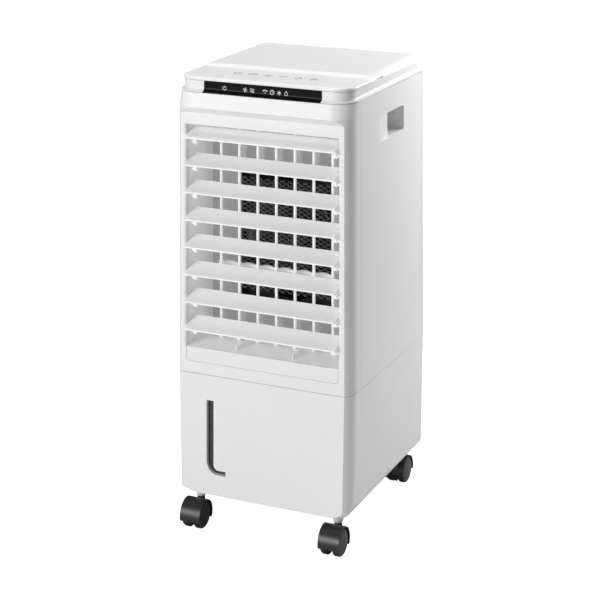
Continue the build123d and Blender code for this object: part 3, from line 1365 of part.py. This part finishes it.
def caster_hood():
    """Hood, web, boss and stem in caster coordinates: stem on Z, wheels towards -Y."""
    with BuildPart() as hood:
        with BuildSketch(Plane.YZ):
            with BuildLine():
                outer_start, outer_end = hood_arc(hood_outer, HOOD_FROM, HOOD_TO)
                inner_start, inner_end = hood_arc(hood_inner, HOOD_FROM, HOOD_TO)
                Line(outer_start, inner_start)
                Line(outer_end, inner_end)
            make_face()
        extrude(amount=HOOD_HALF, both=True)
        with BuildSketch(Plane.YZ):
            with BuildLine():
                outer_start, outer_end = hood_arc(hood_outer - 0.2, WEB_FROM, WEB_TO)
                Line(outer_start, outer_end)
            make_face()
        extrude(amount=WEB_HALF, both=True)
        with Locations((0, 0, BOSS_LOW)):
            Cylinder(
                radius=BOSS_R, height=SOCKET_LOW - SEAM - BOSS_LOW,
                align=(Align.CENTER, Align.CENTER, Align.MIN),
            )
        with Locations((0, 0, BOSS_LOW)):
            Cylinder(
                radius=STEM_R, height=SOCKET_HIGH - 3 - BOSS_LOW,
                align=(Align.CENTER, Align.CENTER, Align.MIN),
            )
        for side in (-1, 1):
            with BuildSketch(Plane.YZ.offset(side * WEB_HALF)):
                with Locations((-TRAIL, WHEEL_R)):
                    Circle(hood_inner)
            extrude(amount=side * BIG, mode=Mode.SUBTRACT)
        with BuildSketch(Plane.YZ.offset(-WEB_HALF - 1)):
            with Locations((-TRAIL, WHEEL_R)):
                Circle(AXLE_R + PIN_FIT)
        extrude(amount=2 * WEB_HALF + 2, mode=Mode.SUBTRACT)
    return hood.part


def caster_axle():
    """Cross axle in caster coordinates."""
    with BuildPart() as axle:
        with BuildSketch(Plane.YZ):
            with Locations((-TRAIL, WHEEL_R)):
                Circle(AXLE_R)
        extrude(amount=AXLE_END, both=True)
    return axle.part


def caster_wheels():
    """Two wheels with a rounded shoulder and a shallow domed face, joined only by their axle."""
    axle_plane = Plane(origin=(0, -TRAIL, WHEEL_R), x_dir=(1, 0, 0), z_dir=(0, -1, 0))
    face_r = WHEEL_R - SHOULDER_DROP
    with BuildPart() as wheels:
        with BuildSketch(axle_plane):
            with BuildLine():
                Line((WHEEL_IN, 0), (WHEEL_IN, WHEEL_R - 1))
                Line((WHEEL_IN, WHEEL_R - 1), (WHEEL_IN + 1, WHEEL_R))
                Line((WHEEL_IN + 1, WHEEL_R), (TREAD_OUT, WHEEL_R))
                ThreePointArc(
                    (TREAD_OUT, WHEEL_R), (TREAD_OUT + 2.6, WHEEL_R - 1.6), (SHOULDER_OUT, face_r)
                )
                ThreePointArc(
                    (SHOULDER_OUT, face_r), (WHEEL_OUT - 0.25, face_r / 2), (WHEEL_OUT, HUB_FLAT_R)
                )
                Line((WHEEL_OUT, HUB_FLAT_R), (WHEEL_OUT, 0))
                Line((WHEEL_OUT, 0), (WHEEL_IN, 0))
            make_face()
            mirror(about=Plane.YZ)
        revolve(axis=Axis((0, -TRAIL, WHEEL_R), (1, 0, 0)))
        with BuildSketch(Plane.YZ):
            with Locations((-TRAIL, WHEEL_R)):
                Circle(AXLE_R + PIN_FIT)
        extrude(amount=AXLE_END + 0.1, both=True, mode=Mode.SUBTRACT)
    return wheels.part


CASTER_NAMES = ("front_left", "front_right", "rear_left", "rear_right")
for corner, (stem_x, stem_y) in zip(CASTER_NAMES, STEM_PLACES):
    turn = 0 if stem_y < 0 else 180
    place = Location((stem_x, stem_y, 0), (0, 0, turn))
    for stem_name, maker in (
        ("caster_hood", caster_hood), ("caster_axle", caster_axle), ("caster_wheels", caster_wheels)
    ):
        placed = place * maker()
        placed.label = f"{stem_name}_{corner}"
        export_step(placed, f"parts/{stem_name}_{corner}.step")
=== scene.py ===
import json
import math
import bpy
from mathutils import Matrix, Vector


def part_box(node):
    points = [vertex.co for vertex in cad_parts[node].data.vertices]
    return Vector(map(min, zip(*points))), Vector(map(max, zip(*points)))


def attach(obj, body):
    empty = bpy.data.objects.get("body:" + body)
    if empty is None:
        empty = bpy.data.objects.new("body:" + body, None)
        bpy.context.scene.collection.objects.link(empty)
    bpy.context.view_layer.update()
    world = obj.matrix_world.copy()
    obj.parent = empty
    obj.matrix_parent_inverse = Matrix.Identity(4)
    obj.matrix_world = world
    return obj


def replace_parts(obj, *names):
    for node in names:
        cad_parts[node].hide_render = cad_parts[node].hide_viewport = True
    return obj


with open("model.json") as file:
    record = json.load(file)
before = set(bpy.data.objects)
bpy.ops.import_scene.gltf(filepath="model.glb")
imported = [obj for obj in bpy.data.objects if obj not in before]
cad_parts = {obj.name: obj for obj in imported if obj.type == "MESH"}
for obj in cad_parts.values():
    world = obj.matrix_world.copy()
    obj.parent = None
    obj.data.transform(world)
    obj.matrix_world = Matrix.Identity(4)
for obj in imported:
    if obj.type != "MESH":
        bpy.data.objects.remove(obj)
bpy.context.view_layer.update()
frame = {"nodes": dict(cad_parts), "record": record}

MM = 0.001
NODES = frame["nodes"]


# ---------------------------------------------------------------- materials

CLOUD_SCALE = 9.0          # slow mottling of a moulded surface
RIPPLE_SCALE = 55.0        # faint waviness of a moulded surface
RIPPLE_DEPTH = 0.4 * MM
GRAIN_SCALE = 1600.0       # spark-eroded grain of a mould
GRAIN_DEPTH = 0.05 * MM
BRUSH_SCALE = 700.0        # fine streaks of metal
STAIN_SCALE = 40.0
FLOW_SCALE = 30.0          # flow lines of clear plastic
GLOSS_SPREAD = 0.15        # part by which the roughness of plastic goes up and down
BRUSH_SPREAD = 0.3         # the same for metal
FLOW_SPREAD = 0.2          # and for clear plastic
STAIN_SHADE = 0.82         # brightness of a stain on metal
FLOW_SHADE = 1.08          # and of a flow line
INK_SHADE = 0.85           # and of thin ink
UPRIGHT_STRETCH = (1.0, 1.0, 0.2)
FIBRE_STRETCH = (1.0, 1.0, 0.25)
PAINTED_GLOW_RUN_IN = 1.0 * MM     # way over which the painted glow of a part comes up
COAT_ROUGHNESS = 0.05
CLEAR_IOR = 1.46
BEVEL_SAMPLES = 4


def node_material(name):
    """New material; returns it with its tree, its Principled node and the object coordinates."""
    material = bpy.data.materials.new(name)
    material.use_nodes = True
    tree = material.node_tree
    tree.nodes.clear()
    output = tree.nodes.new("ShaderNodeOutputMaterial")
    shader = tree.nodes.new("ShaderNodeBsdfPrincipled")
    tree.links.new(shader.outputs["BSDF"], output.inputs["Surface"])
    coordinates = tree.nodes.new("ShaderNodeTexCoord").outputs["Object"]
    return material, tree, shader, coordinates


def noise(tree, coordinates, scale, detail=2.0, stretch=None):
    """Noise texture output over object coordinates, with an optional stretch per axis."""
    if stretch:
        mapping = tree.nodes.new("ShaderNodeMapping")
        mapping.inputs["Scale"].default_value = stretch
        tree.links.new(coordinates, mapping.inputs["Vector"])
        coordinates = mapping.outputs["Vector"]
    texture = tree.nodes.new("ShaderNodeTexNoise")
    texture.inputs["Scale"].default_value = scale
    texture.inputs["Detail"].default_value = detail
    tree.links.new(coordinates, texture.inputs["Vector"])
    return texture.outputs["Fac"]


def remap(tree, value, low, high, start=0.0, end=1.0):
    """Maps a value that runs from start to end to low to high."""
    node = tree.nodes.new("ShaderNodeMapRange")
    node.inputs["From Min"].default_value = start
    node.inputs["From Max"].default_value = end
    node.inputs["To Min"].default_value = low
    node.inputs["To Max"].default_value = high
    tree.links.new(value, node.inputs["Value"])
    return node.outputs["Result"]


def around(tree, value, middle, spread):
    """Maps a 0 to 1 value to the numbers around the middle, down and up by a part of it."""
    return remap(tree, value, middle * (1.0 - spread), middle * (1.0 + spread))


def shade(colour, factor):
    """The colour made darker, or lighter by a factor over 1."""
    return tuple(min(1.0, channel * factor) for channel in colour)


def mix_colours(tree, factor, first, second):
    """Colour between first and second."""
    node = tree.nodes.new("ShaderNodeMix")
    node.data_type = "RGBA"
    node.inputs["A"].default_value = (*first, 1.0)
    node.inputs["B"].default_value = (*second, 1.0)
    tree.links.new(factor, node.inputs["Factor"])
    return node.outputs["Result"]


def bump(tree, height, strength, distance, normal=None):
    """Bump from a height value over an optional base normal."""
    node = tree.nodes.new("ShaderNodeBump")
    node.inputs["Strength"].default_value = strength
    node.inputs["Distance"].default_value = distance
    tree.links.new(height, node.inputs["Height"])
    if normal:
        tree.links.new(normal, node.inputs["Normal"])
    return node.outputs["Normal"]


def soft_edges(tree, radius):
    """Normal that rounds the sharp edges over the given radius."""
    node = tree.nodes.new("ShaderNodeBevel")
    node.samples = BEVEL_SAMPLES
    node.inputs["Radius"].default_value = radius
    return node.outputs["Normal"]


def dress(tree, shader, colour, roughness, normal=None):
    """Links the colour, the roughness and any normal to the shader."""
    tree.links.new(colour, shader.inputs["Base Color"])
    tree.links.new(roughness, shader.inputs["Roughness"])
    if normal:
        tree.links.new(normal, shader.inputs["Normal"])


def moulded_plastic(name, colour, roughness, texture=0.12, edge=0.7 * MM, tint=0.03, coat=0.0,
                    glow=0.0, painted_glow_behind=None):
    """Moulded plastic: spark-eroded grain, faint flow mottling, uneven gloss and softened edges.

    A little glow is painted light: it lifts white parts that lie in shade and stands in for the
    light that thin walls pass on; with painted_glow_behind it starts behind that Y place only.
    """
    material, tree, shader, coordinates = node_material(name)
    cloud = noise(tree, coordinates, CLOUD_SCALE, detail=3.0)
    grain = noise(tree, coordinates, GRAIN_SCALE)
    ripple = noise(tree, coordinates, RIPPLE_SCALE, detail=1.0)
    base = mix_colours(tree, cloud, shade(colour, 1.0 - tint), colour)
    edges = soft_edges(tree, edge) if edge else None
    waved = bump(tree, ripple, strength=0.04, distance=RIPPLE_DEPTH, normal=edges)
    dress(
        tree, shader, base,
        around(tree, ripple, roughness, GLOSS_SPREAD),
        bump(tree, grain, strength=texture, distance=GRAIN_DEPTH, normal=waved),
    )
    # Painted light: the glow takes the part's own colour.
    tree.links.new(base, shader.inputs["Emission Color"])
    shader.inputs["Emission Strength"].default_value = glow
    if painted_glow_behind is not None:
        axes = tree.nodes.new("ShaderNodeSeparateXYZ")
        tree.links.new(coordinates, axes.inputs["Vector"])
        painted_glow_rise = remap(tree, axes.outputs["Y"], 0.0, glow, painted_glow_behind, painted_glow_behind + PAINTED_GLOW_RUN_IN)
        tree.links.new(painted_glow_rise, shader.inputs["Emission Strength"])
    shader.inputs["Coat Weight"].default_value = coat
    shader.inputs["Coat Roughness"].default_value = COAT_ROUGHNESS
    return material


def metal(name, colour, roughness, stretch=(1.0, 1.0, 1.0)):
    """Bare metal with fine streaks, drawn out along the axis that has a low stretch value."""
    material, tree, shader, coordinates = node_material(name)
    streaks = noise(tree, coordinates, BRUSH_SCALE, detail=3.0, stretch=stretch)
    stain = noise(tree, coordinates, STAIN_SCALE, detail=3.0)
    dress(
        tree, shader,
        mix_colours(tree, stain, shade(colour, STAIN_SHADE), colour),
        around(tree, streaks, roughness, BRUSH_SPREAD),
        bump(tree, streaks, strength=0.1, distance=GRAIN_DEPTH),
    )
    shader.inputs["Metallic"].default_value = 1.0
    return material


def clear_plastic(name, colour, roughness, transmission):
    """Milky clear plastic with faint flow lines."""
    material, tree, shader, coordinates = node_material(name)
    flow = noise(tree, coordinates, FLOW_SCALE, stretch=UPRIGHT_STRETCH)
    dress(
        tree, shader,
        mix_colours(tree, flow, colour, shade(colour, FLOW_SHADE)),
        around(tree, flow, roughness, FLOW_SPREAD),
        bump(tree, flow, strength=0.05, distance=0.3 * MM),
    )
    shader.inputs["Transmission Weight"].default_value = transmission
    shader.inputs["IOR"].default_value = CLEAR_IOR
    return material


def glossy_black(name):
    """Gloss black panel: a dark mirror with very faint haze and waviness."""
    material, tree, shader, coordinates = node_material(name)
    haze = noise(tree, coordinates, scale=25.0, detail=3.0)
    ripple = noise(tree, coordinates, scale=80.0, detail=1.0)
    dress(
        tree, shader,
        mix_colours(tree, haze, (0.002, 0.002, 0.0025), (0.005, 0.005, 0.006)),
        remap(tree, haze, low=0.16, high=0.24),
        bump(tree, ripple, strength=0.02, distance=0.2 * MM),
    )
    shader.inputs["Specular IOR Level"].default_value = 0.08
    return material


def paper(name):
    """Kraft paper of the cooling pad with fibres and damp patches."""
    material, tree, shader, coordinates = node_material(name)
    fibres = noise(tree, coordinates, scale=900.0, detail=4.0, stretch=FIBRE_STRETCH)
    damp = noise(tree, coordinates, scale=14.0, detail=3.0)
    dress(
        tree, shader,
        mix_colours(tree, damp, (0.26, 0.17, 0.09), (0.5, 0.36, 0.2)),
        remap(tree, fibres, low=0.7, high=0.95),
        bump(tree, fibres, strength=0.4, distance=0.15 * MM),
    )
    return material


def board(name):
    """Circuit board: green mask over wavy rows of copper tracks."""
    material, tree, shader, coordinates = node_material(name)
    rows = tree.nodes.new("ShaderNodeTexWave")
    rows.inputs["Scale"].default_value = 120.0
    rows.inputs["Distortion"].default_value = 3.0
    tree.links.new(coordinates, rows.inputs["Vector"])
    tracks = rows.outputs["Fac"]
    dress(
        tree, shader,
        mix_colours(tree, tracks, (0.01, 0.11, 0.03), (0.03, 0.2, 0.06)),
        remap(tree, tracks, low=0.25, high=0.45),
        bump(tree, tracks, strength=0.2, distance=GRAIN_DEPTH),
    )
    return material


def printed(name, colour, glow=0.0):
    """Screen-printed or lit mark with slight ink unevenness."""
    material, tree, shader, coordinates = node_material(name)
    ink = noise(tree, coordinates, scale=700.0)
    mixed = mix_colours(tree, ink, shade(colour, INK_SHADE), colour)
    dress(tree, shader, mixed, remap(tree, ink, low=0.4, high=0.6))
    tree.links.new(mixed, shader.inputs["Emission Color"])
    shader.inputs["Emission Strength"].default_value = glow
    return material


WHITE = (0.84, 0.84, 0.84)
FRAME_INSIDE = -132.0 * MM     # Y behind which the louver frame lies inside the cabinet and has its painted glow
M = {
    # each with its name, colour and roughness
    "shell": moulded_plastic("shell_white", WHITE, 0.42),
    # Painted light: the louvers are a little lighter than the shell and glow, which lifts the
    # shade between the blades.
    "louver": moulded_plastic(
        "louver_white_painted_glow", (0.88, 0.88, 0.88), 0.38, texture=0.06, edge=0.5 * MM, glow=0.12
    ),
    # Painted light: the frame glows where it lies inside the cabinet, which lifts the shade in
    # the outlet.
    "frame": moulded_plastic("frame_white_painted_glow", WHITE, 0.42, glow=0.1, painted_glow_behind=FRAME_INSIDE),
    # Painted shade: the white duct is coloured grey for the shade inside the outlet.
    "duct": moulded_plastic("duct_white_painted_shade", (0.62, 0.62, 0.62), 0.5, edge=0.5 * MM),
    "guard": moulded_plastic("guard_grey", (0.2, 0.2, 0.205), 0.35, edge=0.0, tint=0.15),
    "display": glossy_black("display_black"),
    "smoke": moulded_plastic(
        "window_smoke", (0.035, 0.037, 0.04), 0.22, texture=0.03, coat=0.4
    ),
    "black": moulded_plastic("moulded_black", (0.016, 0.016, 0.017), 0.42, tint=0.25),
    "caster": moulded_plastic(
        "caster_black", (0.022, 0.022, 0.023), 0.38, texture=0.16, tint=0.2
    ),
    "tread": moulded_plastic(
        "tread_black", (0.012, 0.012, 0.013), 0.36, texture=0.1, tint=0.25
    ),
    "collar": moulded_plastic("collar_pale", (0.78, 0.78, 0.78), 0.4),
    "grey": moulded_plastic("inner_grey", (0.36, 0.37, 0.38), 0.5),
    "steel": metal("zinc_steel", (0.62, 0.62, 0.63), 0.28),
    "motor": metal("motor_metal", (0.5, 0.5, 0.51), 0.4, stretch=(1.0, 0.1, 1.0)),
    "clear": clear_plastic("tank_clear", (0.8, 0.86, 0.88), 0.3, transmission=0.55),
    "paper": paper("pad_paper"),
    "board": board("circuit_green"),
    "mesh": moulded_plastic("filter_nylon", (0.10, 0.10, 0.11), 0.6, edge=0.0),
    "glyph": printed("display_glyph", (0.75, 0.76, 0.78), glow=0.5),
    "icon": printed("icon_grey", (0.07, 0.07, 0.075)),
}

SLOT_MATERIALS = {
    "white_shell": "shell",
    "white_louver": "louver",
    "black_gloss": "display",
    "smoke_window": "smoke",
    "black_plastic": "black",
    "caster_tread": "tread",
    "steel": "steel",
    "motor_metal": "motor",
    "circuit_board": "board",
    "grey_plastic": "grey",
    "clear_plastic": "clear",
    "pad_paper": "paper",
    "filter_mesh": "mesh",
    "pale_collar": "collar",
}
for row in frame["record"]["subparts"]:
    mesh = NODES[row["node"]].data
    mesh.materials.clear()
    mesh.materials.append(M[SLOT_MATERIALS[row["material_slot"]]])
NODES["air_duct"].data.materials[0] = M["duct"]
NODES["louver_frame"].data.materials[0] = M["frame"]
NODES["outlet_guard"].data.materials[0] = M["guard"]
for node_name, node in NODES.items():
    if node_name.startswith("caster_hood"):
        node.data.materials[0] = M["caster"]


# ---------------------------------------------------------------- pieces

INK = 0.04 * MM                # height of the marks over their surface
ICON_SCALE = 2.5
ICON_STROKE = 0.5
ICON_PITCH = 22.3 * MM
ICON_ROW_BACK = 43.0 * MM      # from the front edge of the plate
GLYPH_SCALE = 1.3
GLYPH_STROKE = 0.42
GLYPH_SIDE = 1.6               # mm that the whole row stands to the right
GLYPH_ROW_UP = 7.2 * MM        # from the lower edge of the window
GLYPH_REACH = 50.0 * MM        # way of the ray that lays a mark on the window
ARC_STEPS = 14
SHORTEST_STROKE = 1e-6         # a shorter one has no direction and is left out


def piece(name, verts, faces, material, body):
    """Mesh piece that rides on a body and takes one of the materials in M."""
    mesh = bpy.data.meshes.new(name)
    mesh.from_pydata(verts, [], faces)
    mesh.update()
    shaped = bpy.data.objects.new(name, mesh)
    bpy.context.scene.collection.objects.link(shaped)
    mesh.materials.append(M[material])
    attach(shaped, body)
    return shaped


def polar(radius, degrees, cx=0.0, cy=0.0):
    """Point at an angle around a middle."""
    angle = math.radians(degrees)
    return cx + radius * math.cos(angle), cy + radius * math.sin(angle)


def arc(cx, cy, radius, start, end, steps=ARC_STEPS):
    """Points of an arc in degrees."""
    return [polar(radius, start + (end - start) * i / steps, cx, cy) for i in range(steps + 1)]


def wave(cy, half, height, steps=ARC_STEPS):
    """Points of one S-shaped wave line."""
    return [
        (half * (2 * i / steps - 1), cy + height * math.sin(2 * math.pi * i / steps))
        for i in range(steps + 1)
    ]


def power_mark():
    """Open ring with a bar at its top."""
    return [arc(0, 0, 2.0, 125, 415), [(0, 0.3), (0, 2.5)]]


def fan_mark():
    """Hub with four curved blades."""
    reach = 1.15
    blades = [arc(*polar(reach, turn), reach, turn - 180, turn) for turn in (0, 90, 180, 270)]
    return blades + [arc(0, 0, 0.35, 0, 360)]


def waves_mark():
    """Three wind lines."""
    return [wave(height, 2.2, 0.45) for height in (-1.5, 0.0, 1.5)]


def swing_mark():
    """Arc with an arrow head at both ends, over the stem that it swings on."""
    return [
        arc(0, -1.4, 3.0, 40, 140),
        [(2.3, 1.5), (2.3, 0.5), (1.3, 0.6)],
        [(-2.3, 1.5), (-2.3, 0.5), (-1.3, 0.6)],
        [(0, -1.6), (0, 0.4)],
    ]


def timer_mark():
    """Clock face with two hands."""
    return [arc(0, 0, 2.2, 0, 360, 24), [(0, 1.3), (0, 0), (1.0, -0.6)]]


def drop_mark():
    """Water drop."""
    return [[(0, 2.4)] + arc(0, -0.6, 1.6, 35, -215) + [(0, 2.4)]]


def snow_mark():
    """Six-armed flake."""
    reach = 2.2
    return [[polar(-reach, turn), polar(reach, turn)] for turn in (30, 90, 150)]


def strokes(lines, width):
    """Flat ribbons along lines: 2-D points and quads."""
    verts, faces = [], []
    for line in lines:
        for (x0, y0), (x1, y1) in zip(line, line[1:]):
            length = math.hypot(x1 - x0, y1 - y0)
            if length < SHORTEST_STROKE:
                continue
            nx = -(y1 - y0) / length * width / 2
            ny = (x1 - x0) / length * width / 2
            start = len(verts)
            verts += [(x0 + nx, y0 + ny), (x0 - nx, y0 - ny),
                      (x1 - nx, y1 - ny), (x1 + nx, y1 + ny)]
            faces.append((start, start + 1, start + 2, start + 3))
    return verts, faces


def plate_icons():
    """Six grey touch marks printed on the control plate."""
    low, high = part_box("control_plate")
    marks = (power_mark, timer_mark, waves_mark, swing_mark, drop_mark, fan_mark)
    scale = ICON_SCALE * MM
    row_y = low[1] + ICON_ROW_BACK
    for number, mark in enumerate(marks):
        x = (number - (len(marks) - 1) / 2) * ICON_PITCH
        flat, faces = strokes(mark(), ICON_STROKE)
        verts = [(x + u * scale, row_y + v * scale, high[2] + INK) for u, v in flat]
        piece(f"touch_icon_{number + 1}", verts, faces, "icon", "cabinet")


def display_glyphs():
    """Seven lit marks laid on the curved front of the display window."""
    glass = NODES["display_window"]
    low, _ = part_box("display_window")
    layout = (
        # mark, place along the window in mm
        (power_mark, -56.7), (fan_mark, -26.5), (waves_mark, -16.2), (swing_mark, 2.7),
        (timer_mark, 12.8), (snow_mark, 23.0), (drop_mark, 33.0),
    )
    for number, (mark, centre) in enumerate(layout):
        flat, faces = strokes(mark(), GLYPH_STROKE)
        verts = []
        for u, v in flat:
            start = Vector((
                (centre + GLYPH_SIDE + u * GLYPH_SCALE) * MM,
                low[1] - GLYPH_REACH,
                low[2] + GLYPH_ROW_UP + v * GLYPH_SCALE * MM,
            ))
            hit, place, normal, _ = glass.ray_cast(start, Vector((0, 1, 0)))
            if not hit:        # past the glass: flat in the plane of its front
                place, normal = start + Vector((0, GLYPH_REACH, 0)), Vector((0, 0, 0))
            verts.append(tuple(place + normal * INK))
        piece(f"display_glyph_{number + 1}", verts, faces, "glyph", "cabinet")


plate_icons()
display_glyphs()


def cooling_pad_sheets():
    """Cross-fluted paper pad: upright sheets whose slanted flutes alternate in direction."""
    low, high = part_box("cooling_pad")
    sheet_count = 32
    rows, columns = 150, 12
    slants = (-0.6, 1.0)       # of the flutes, sheet by sheet in turn
    fill = 0.42                # how far a flute swings out, as part of the spacing
    flute_pitch = 9.0 * MM
    paper_thick = 0.3 * MM
    spacing = (high[0] - low[0]) / sheet_count
    swing = spacing * fill
    verts, faces = [], []
    for sheet in range(sheet_count):
        middle = low[0] + spacing * (sheet + 0.5)
        slant = slants[sheet % len(slants)]
        first = len(verts)
        for row in range(rows + 1):
            z = low[2] + (high[2] - low[2]) * row / rows
            for column in range(columns + 1):
                y = low[1] + (high[1] - low[1]) * column / columns
                phase = 2 * math.pi * (z + slant * y) / flute_pitch
                verts.append((middle + swing * math.sin(phase), y, z))
        for row in range(rows):
            for column in range(columns):
                corner = first + row * (columns + 1) + column
                faces.append((corner, corner + 1, corner + columns + 2, corner + columns + 1))
    pad = piece("cooling_pad_sheets", verts, faces, "paper", "cabinet")
    for polygon in pad.data.polygons:
        polygon.use_smooth = True
    thick = pad.modifiers.new("paper", "SOLIDIFY")
    thick.thickness = paper_thick
    thick.offset = 0.0
    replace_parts(pad, "cooling_pad")


def add_box(verts, faces, low, high):
    """Appends a box to the lists."""
    start = len(verts)
    for x in (low[0], high[0]):
        for y in (low[1], high[1]):
            for z in (low[2], high[2]):
                verts.append((x, y, z))
    for quad in ((0, 1, 3, 2), (4, 6, 7, 5), (0, 4, 5, 1),
                 (2, 3, 7, 6), (0, 2, 6, 4), (1, 5, 7, 3)):
        faces.append(tuple(start + index for index in quad))


def dust_net():
    """Woven nylon net in a thin welded border."""
    low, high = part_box("dust_filter")
    thread = 0.35 * MM
    pitch = 2.1 * MM
    border = 3.0 * MM
    middle = (low[1] + high[1]) / 2
    verts, faces = [], []
    across = int((high[0] - low[0]) / pitch)
    upright = int((high[2] - low[2]) / pitch)
    half = thread / 2
    for k in range(1, across):
        x = low[0] + (high[0] - low[0]) * k / across
        add_box(verts, faces, (x - half, middle - thread, low[2]), (x + half, middle, high[2]))
    for k in range(1, upright):
        z = low[2] + (high[2] - low[2]) * k / upright
        add_box(verts, faces, (low[0], middle, z - half), (high[0], middle + thread, z + half))
    for edge_low, edge_high in (
        ((low[0], low[1], low[2]), (high[0], high[1], low[2] + border)),
        ((low[0], low[1], high[2] - border), (high[0], high[1], high[2])),
        ((low[0], low[1], low[2] + border), (low[0] + border, high[1], high[2] - border)),
        ((high[0] - border, low[1], low[2] + border), (high[0], high[1], high[2] - border)),
    ):
        add_box(verts, faces, edge_low, edge_high)
    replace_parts(piece("dust_net", verts, faces, "mesh", "filter"), "dust_filter")


cooling_pad_sheets()
dust_net()


# ---------------------------------------------------------------- stage, lights and camera

LIGHTS = (
    # name, place and target in metres, side of the square, watts
    ("front_left", (-1.3, -3.1, 1.1), (0.0, 0.0, 0.35), 1.6, 79.0),
    ("front_left_high", (-0.7, -2.7, 2.0), (0.0, 0.0, 0.35), 1.4, 5.0),
    ("top", (0.0, 0.3, 2.8), (0.0, 0.0, 0.5), 1.6, 43.0),
    ("rear_right", (0.55, 0.6, 0.75), (0.1, 0.0, 0.35), 0.3, 6.2),
)
AMBIENT = 0.1              # share of the white surround that gives light
FLOOR_GLOW = 0.95          # keeps the floor near white for the camera
FLOOR_HALF = 12.0
CAMERA_AZIMUTH = 24.12     # degrees to the right of the front
CAMERA_DISTANCE = 2.4294   # metres, as the next three
CAMERA_SIDEWAYS = -0.0037
CAMERA_HEIGHT = 1.0481
CAMERA_FAR = 100.0
CAMERA_LENS = 105.84       # millimetres, as the sensor
CAMERA_SENSOR = 36.0
SHIFT_DOWN = -0.929        # as part of the sensor's width


def camera_only(tree, strength):
    """Value that is strength for rays straight from the camera and zero for light."""
    rays = tree.nodes.new("ShaderNodeLightPath")
    scaled = tree.nodes.new("ShaderNodeMath")
    scaled.operation = "MULTIPLY"
    scaled.inputs[1].default_value = strength
    tree.links.new(rays.outputs["Is Camera Ray"], scaled.inputs[0])
    return scaled.outputs["Value"]


def floor_material():
    """Pale seamless paper with a fine tooth, kept near white for the camera."""
    material, tree, shader, coordinates = node_material("floor_pale")
    tooth = noise(tree, coordinates, scale=400.0)
    dress(
        tree, shader,
        mix_colours(tree, tooth, (0.6, 0.6, 0.6), (0.64, 0.64, 0.64)),
        remap(tree, tooth, low=0.75, high=0.9),
        bump(tree, tooth, strength=0.1, distance=0.1 * MM),
    )
    shader.inputs["Specular IOR Level"].default_value = 0.0
    shader.inputs["Emission Color"].default_value = (1.0, 1.0, 1.0, 1.0)
    tree.links.new(camera_only(tree, FLOOR_GLOW), shader.inputs["Emission Strength"])
    return material


def surround():
    """White surround: full white for the camera, dim as a light."""
    world = bpy.data.worlds.new("studio")
    bpy.context.scene.world = world
    world.use_nodes = True
    tree = world.node_tree
    background = tree.nodes["Background"]
    background.inputs["Color"].default_value = (1.0, 1.0, 1.0, 1.0)
    strength = tree.nodes.new("ShaderNodeMath")
    strength.operation = "ADD"
    strength.inputs[1].default_value = AMBIENT
    tree.links.new(camera_only(tree, 1.0 - AMBIENT), strength.inputs[0])
    tree.links.new(strength.outputs["Value"], background.inputs["Strength"])


def studio_floor():
    """Wide pale floor under the casters."""
    half = FLOOR_HALF
    mesh = bpy.data.meshes.new("floor")
    mesh.from_pydata(
        [(-half, -half, 0), (half, -half, 0), (half, half, 0), (-half, half, 0)], [],
        [(0, 1, 2, 3)],
    )
    floor = bpy.data.objects.new("floor", mesh)
    bpy.context.scene.collection.objects.link(floor)
    mesh.materials.append(floor_material())


def lamps():
    """Soft lights: strong from the front left and the top, a small one from the rear right."""
    for name, place, target, size, power in LIGHTS:
        data = bpy.data.lights.new(name, "AREA")
        data.size = size
        data.energy = power
        lamp = bpy.data.objects.new(name, data)
        lamp.location = place
        direction = Vector(target) - Vector(place)
        lamp.rotation_euler = direction.to_track_quat("-Z", "Y").to_euler()
        bpy.context.scene.collection.objects.link(lamp)


def camera():
    """Level camera from the front right; its lens is shifted down, so uprights stay parallel."""
    azimuth = math.radians(CAMERA_AZIMUTH)
    data = bpy.data.cameras.new("camera")
    data.lens = CAMERA_LENS
    data.sensor_width = CAMERA_SENSOR
    data.clip_end = CAMERA_FAR
    viewer = bpy.data.objects.new("camera", data)
    viewer.location = (
        math.sin(azimuth) * CAMERA_DISTANCE + math.cos(azimuth) * CAMERA_SIDEWAYS,
        -math.cos(azimuth) * CAMERA_DISTANCE + math.sin(azimuth) * CAMERA_SIDEWAYS,
        CAMERA_HEIGHT,
    )
    viewer.rotation_euler = (math.pi / 2, 0.0, azimuth)
    bpy.context.scene.collection.objects.link(viewer)
    bpy.context.scene.camera = viewer
    # The shift belongs to this place only: the mode reads 0 where a viewpoint is set as a
    # quaternion, and the lens isn't shifted then.
    driver = data.driver_add("shift_y").driver
    mode = driver.variables.new()
    mode.name = "mode"
    mode.type = "SINGLE_PROP"
    mode.targets[0].id = viewer
    mode.targets[0].data_path = "rotation_mode"
    driver.expression = f"{SHIFT_DOWN} * min(mode, 1)"


bpy.context.scene.view_settings.view_transform = "Standard"
surround()
studio_floor()
lamps()
camera()
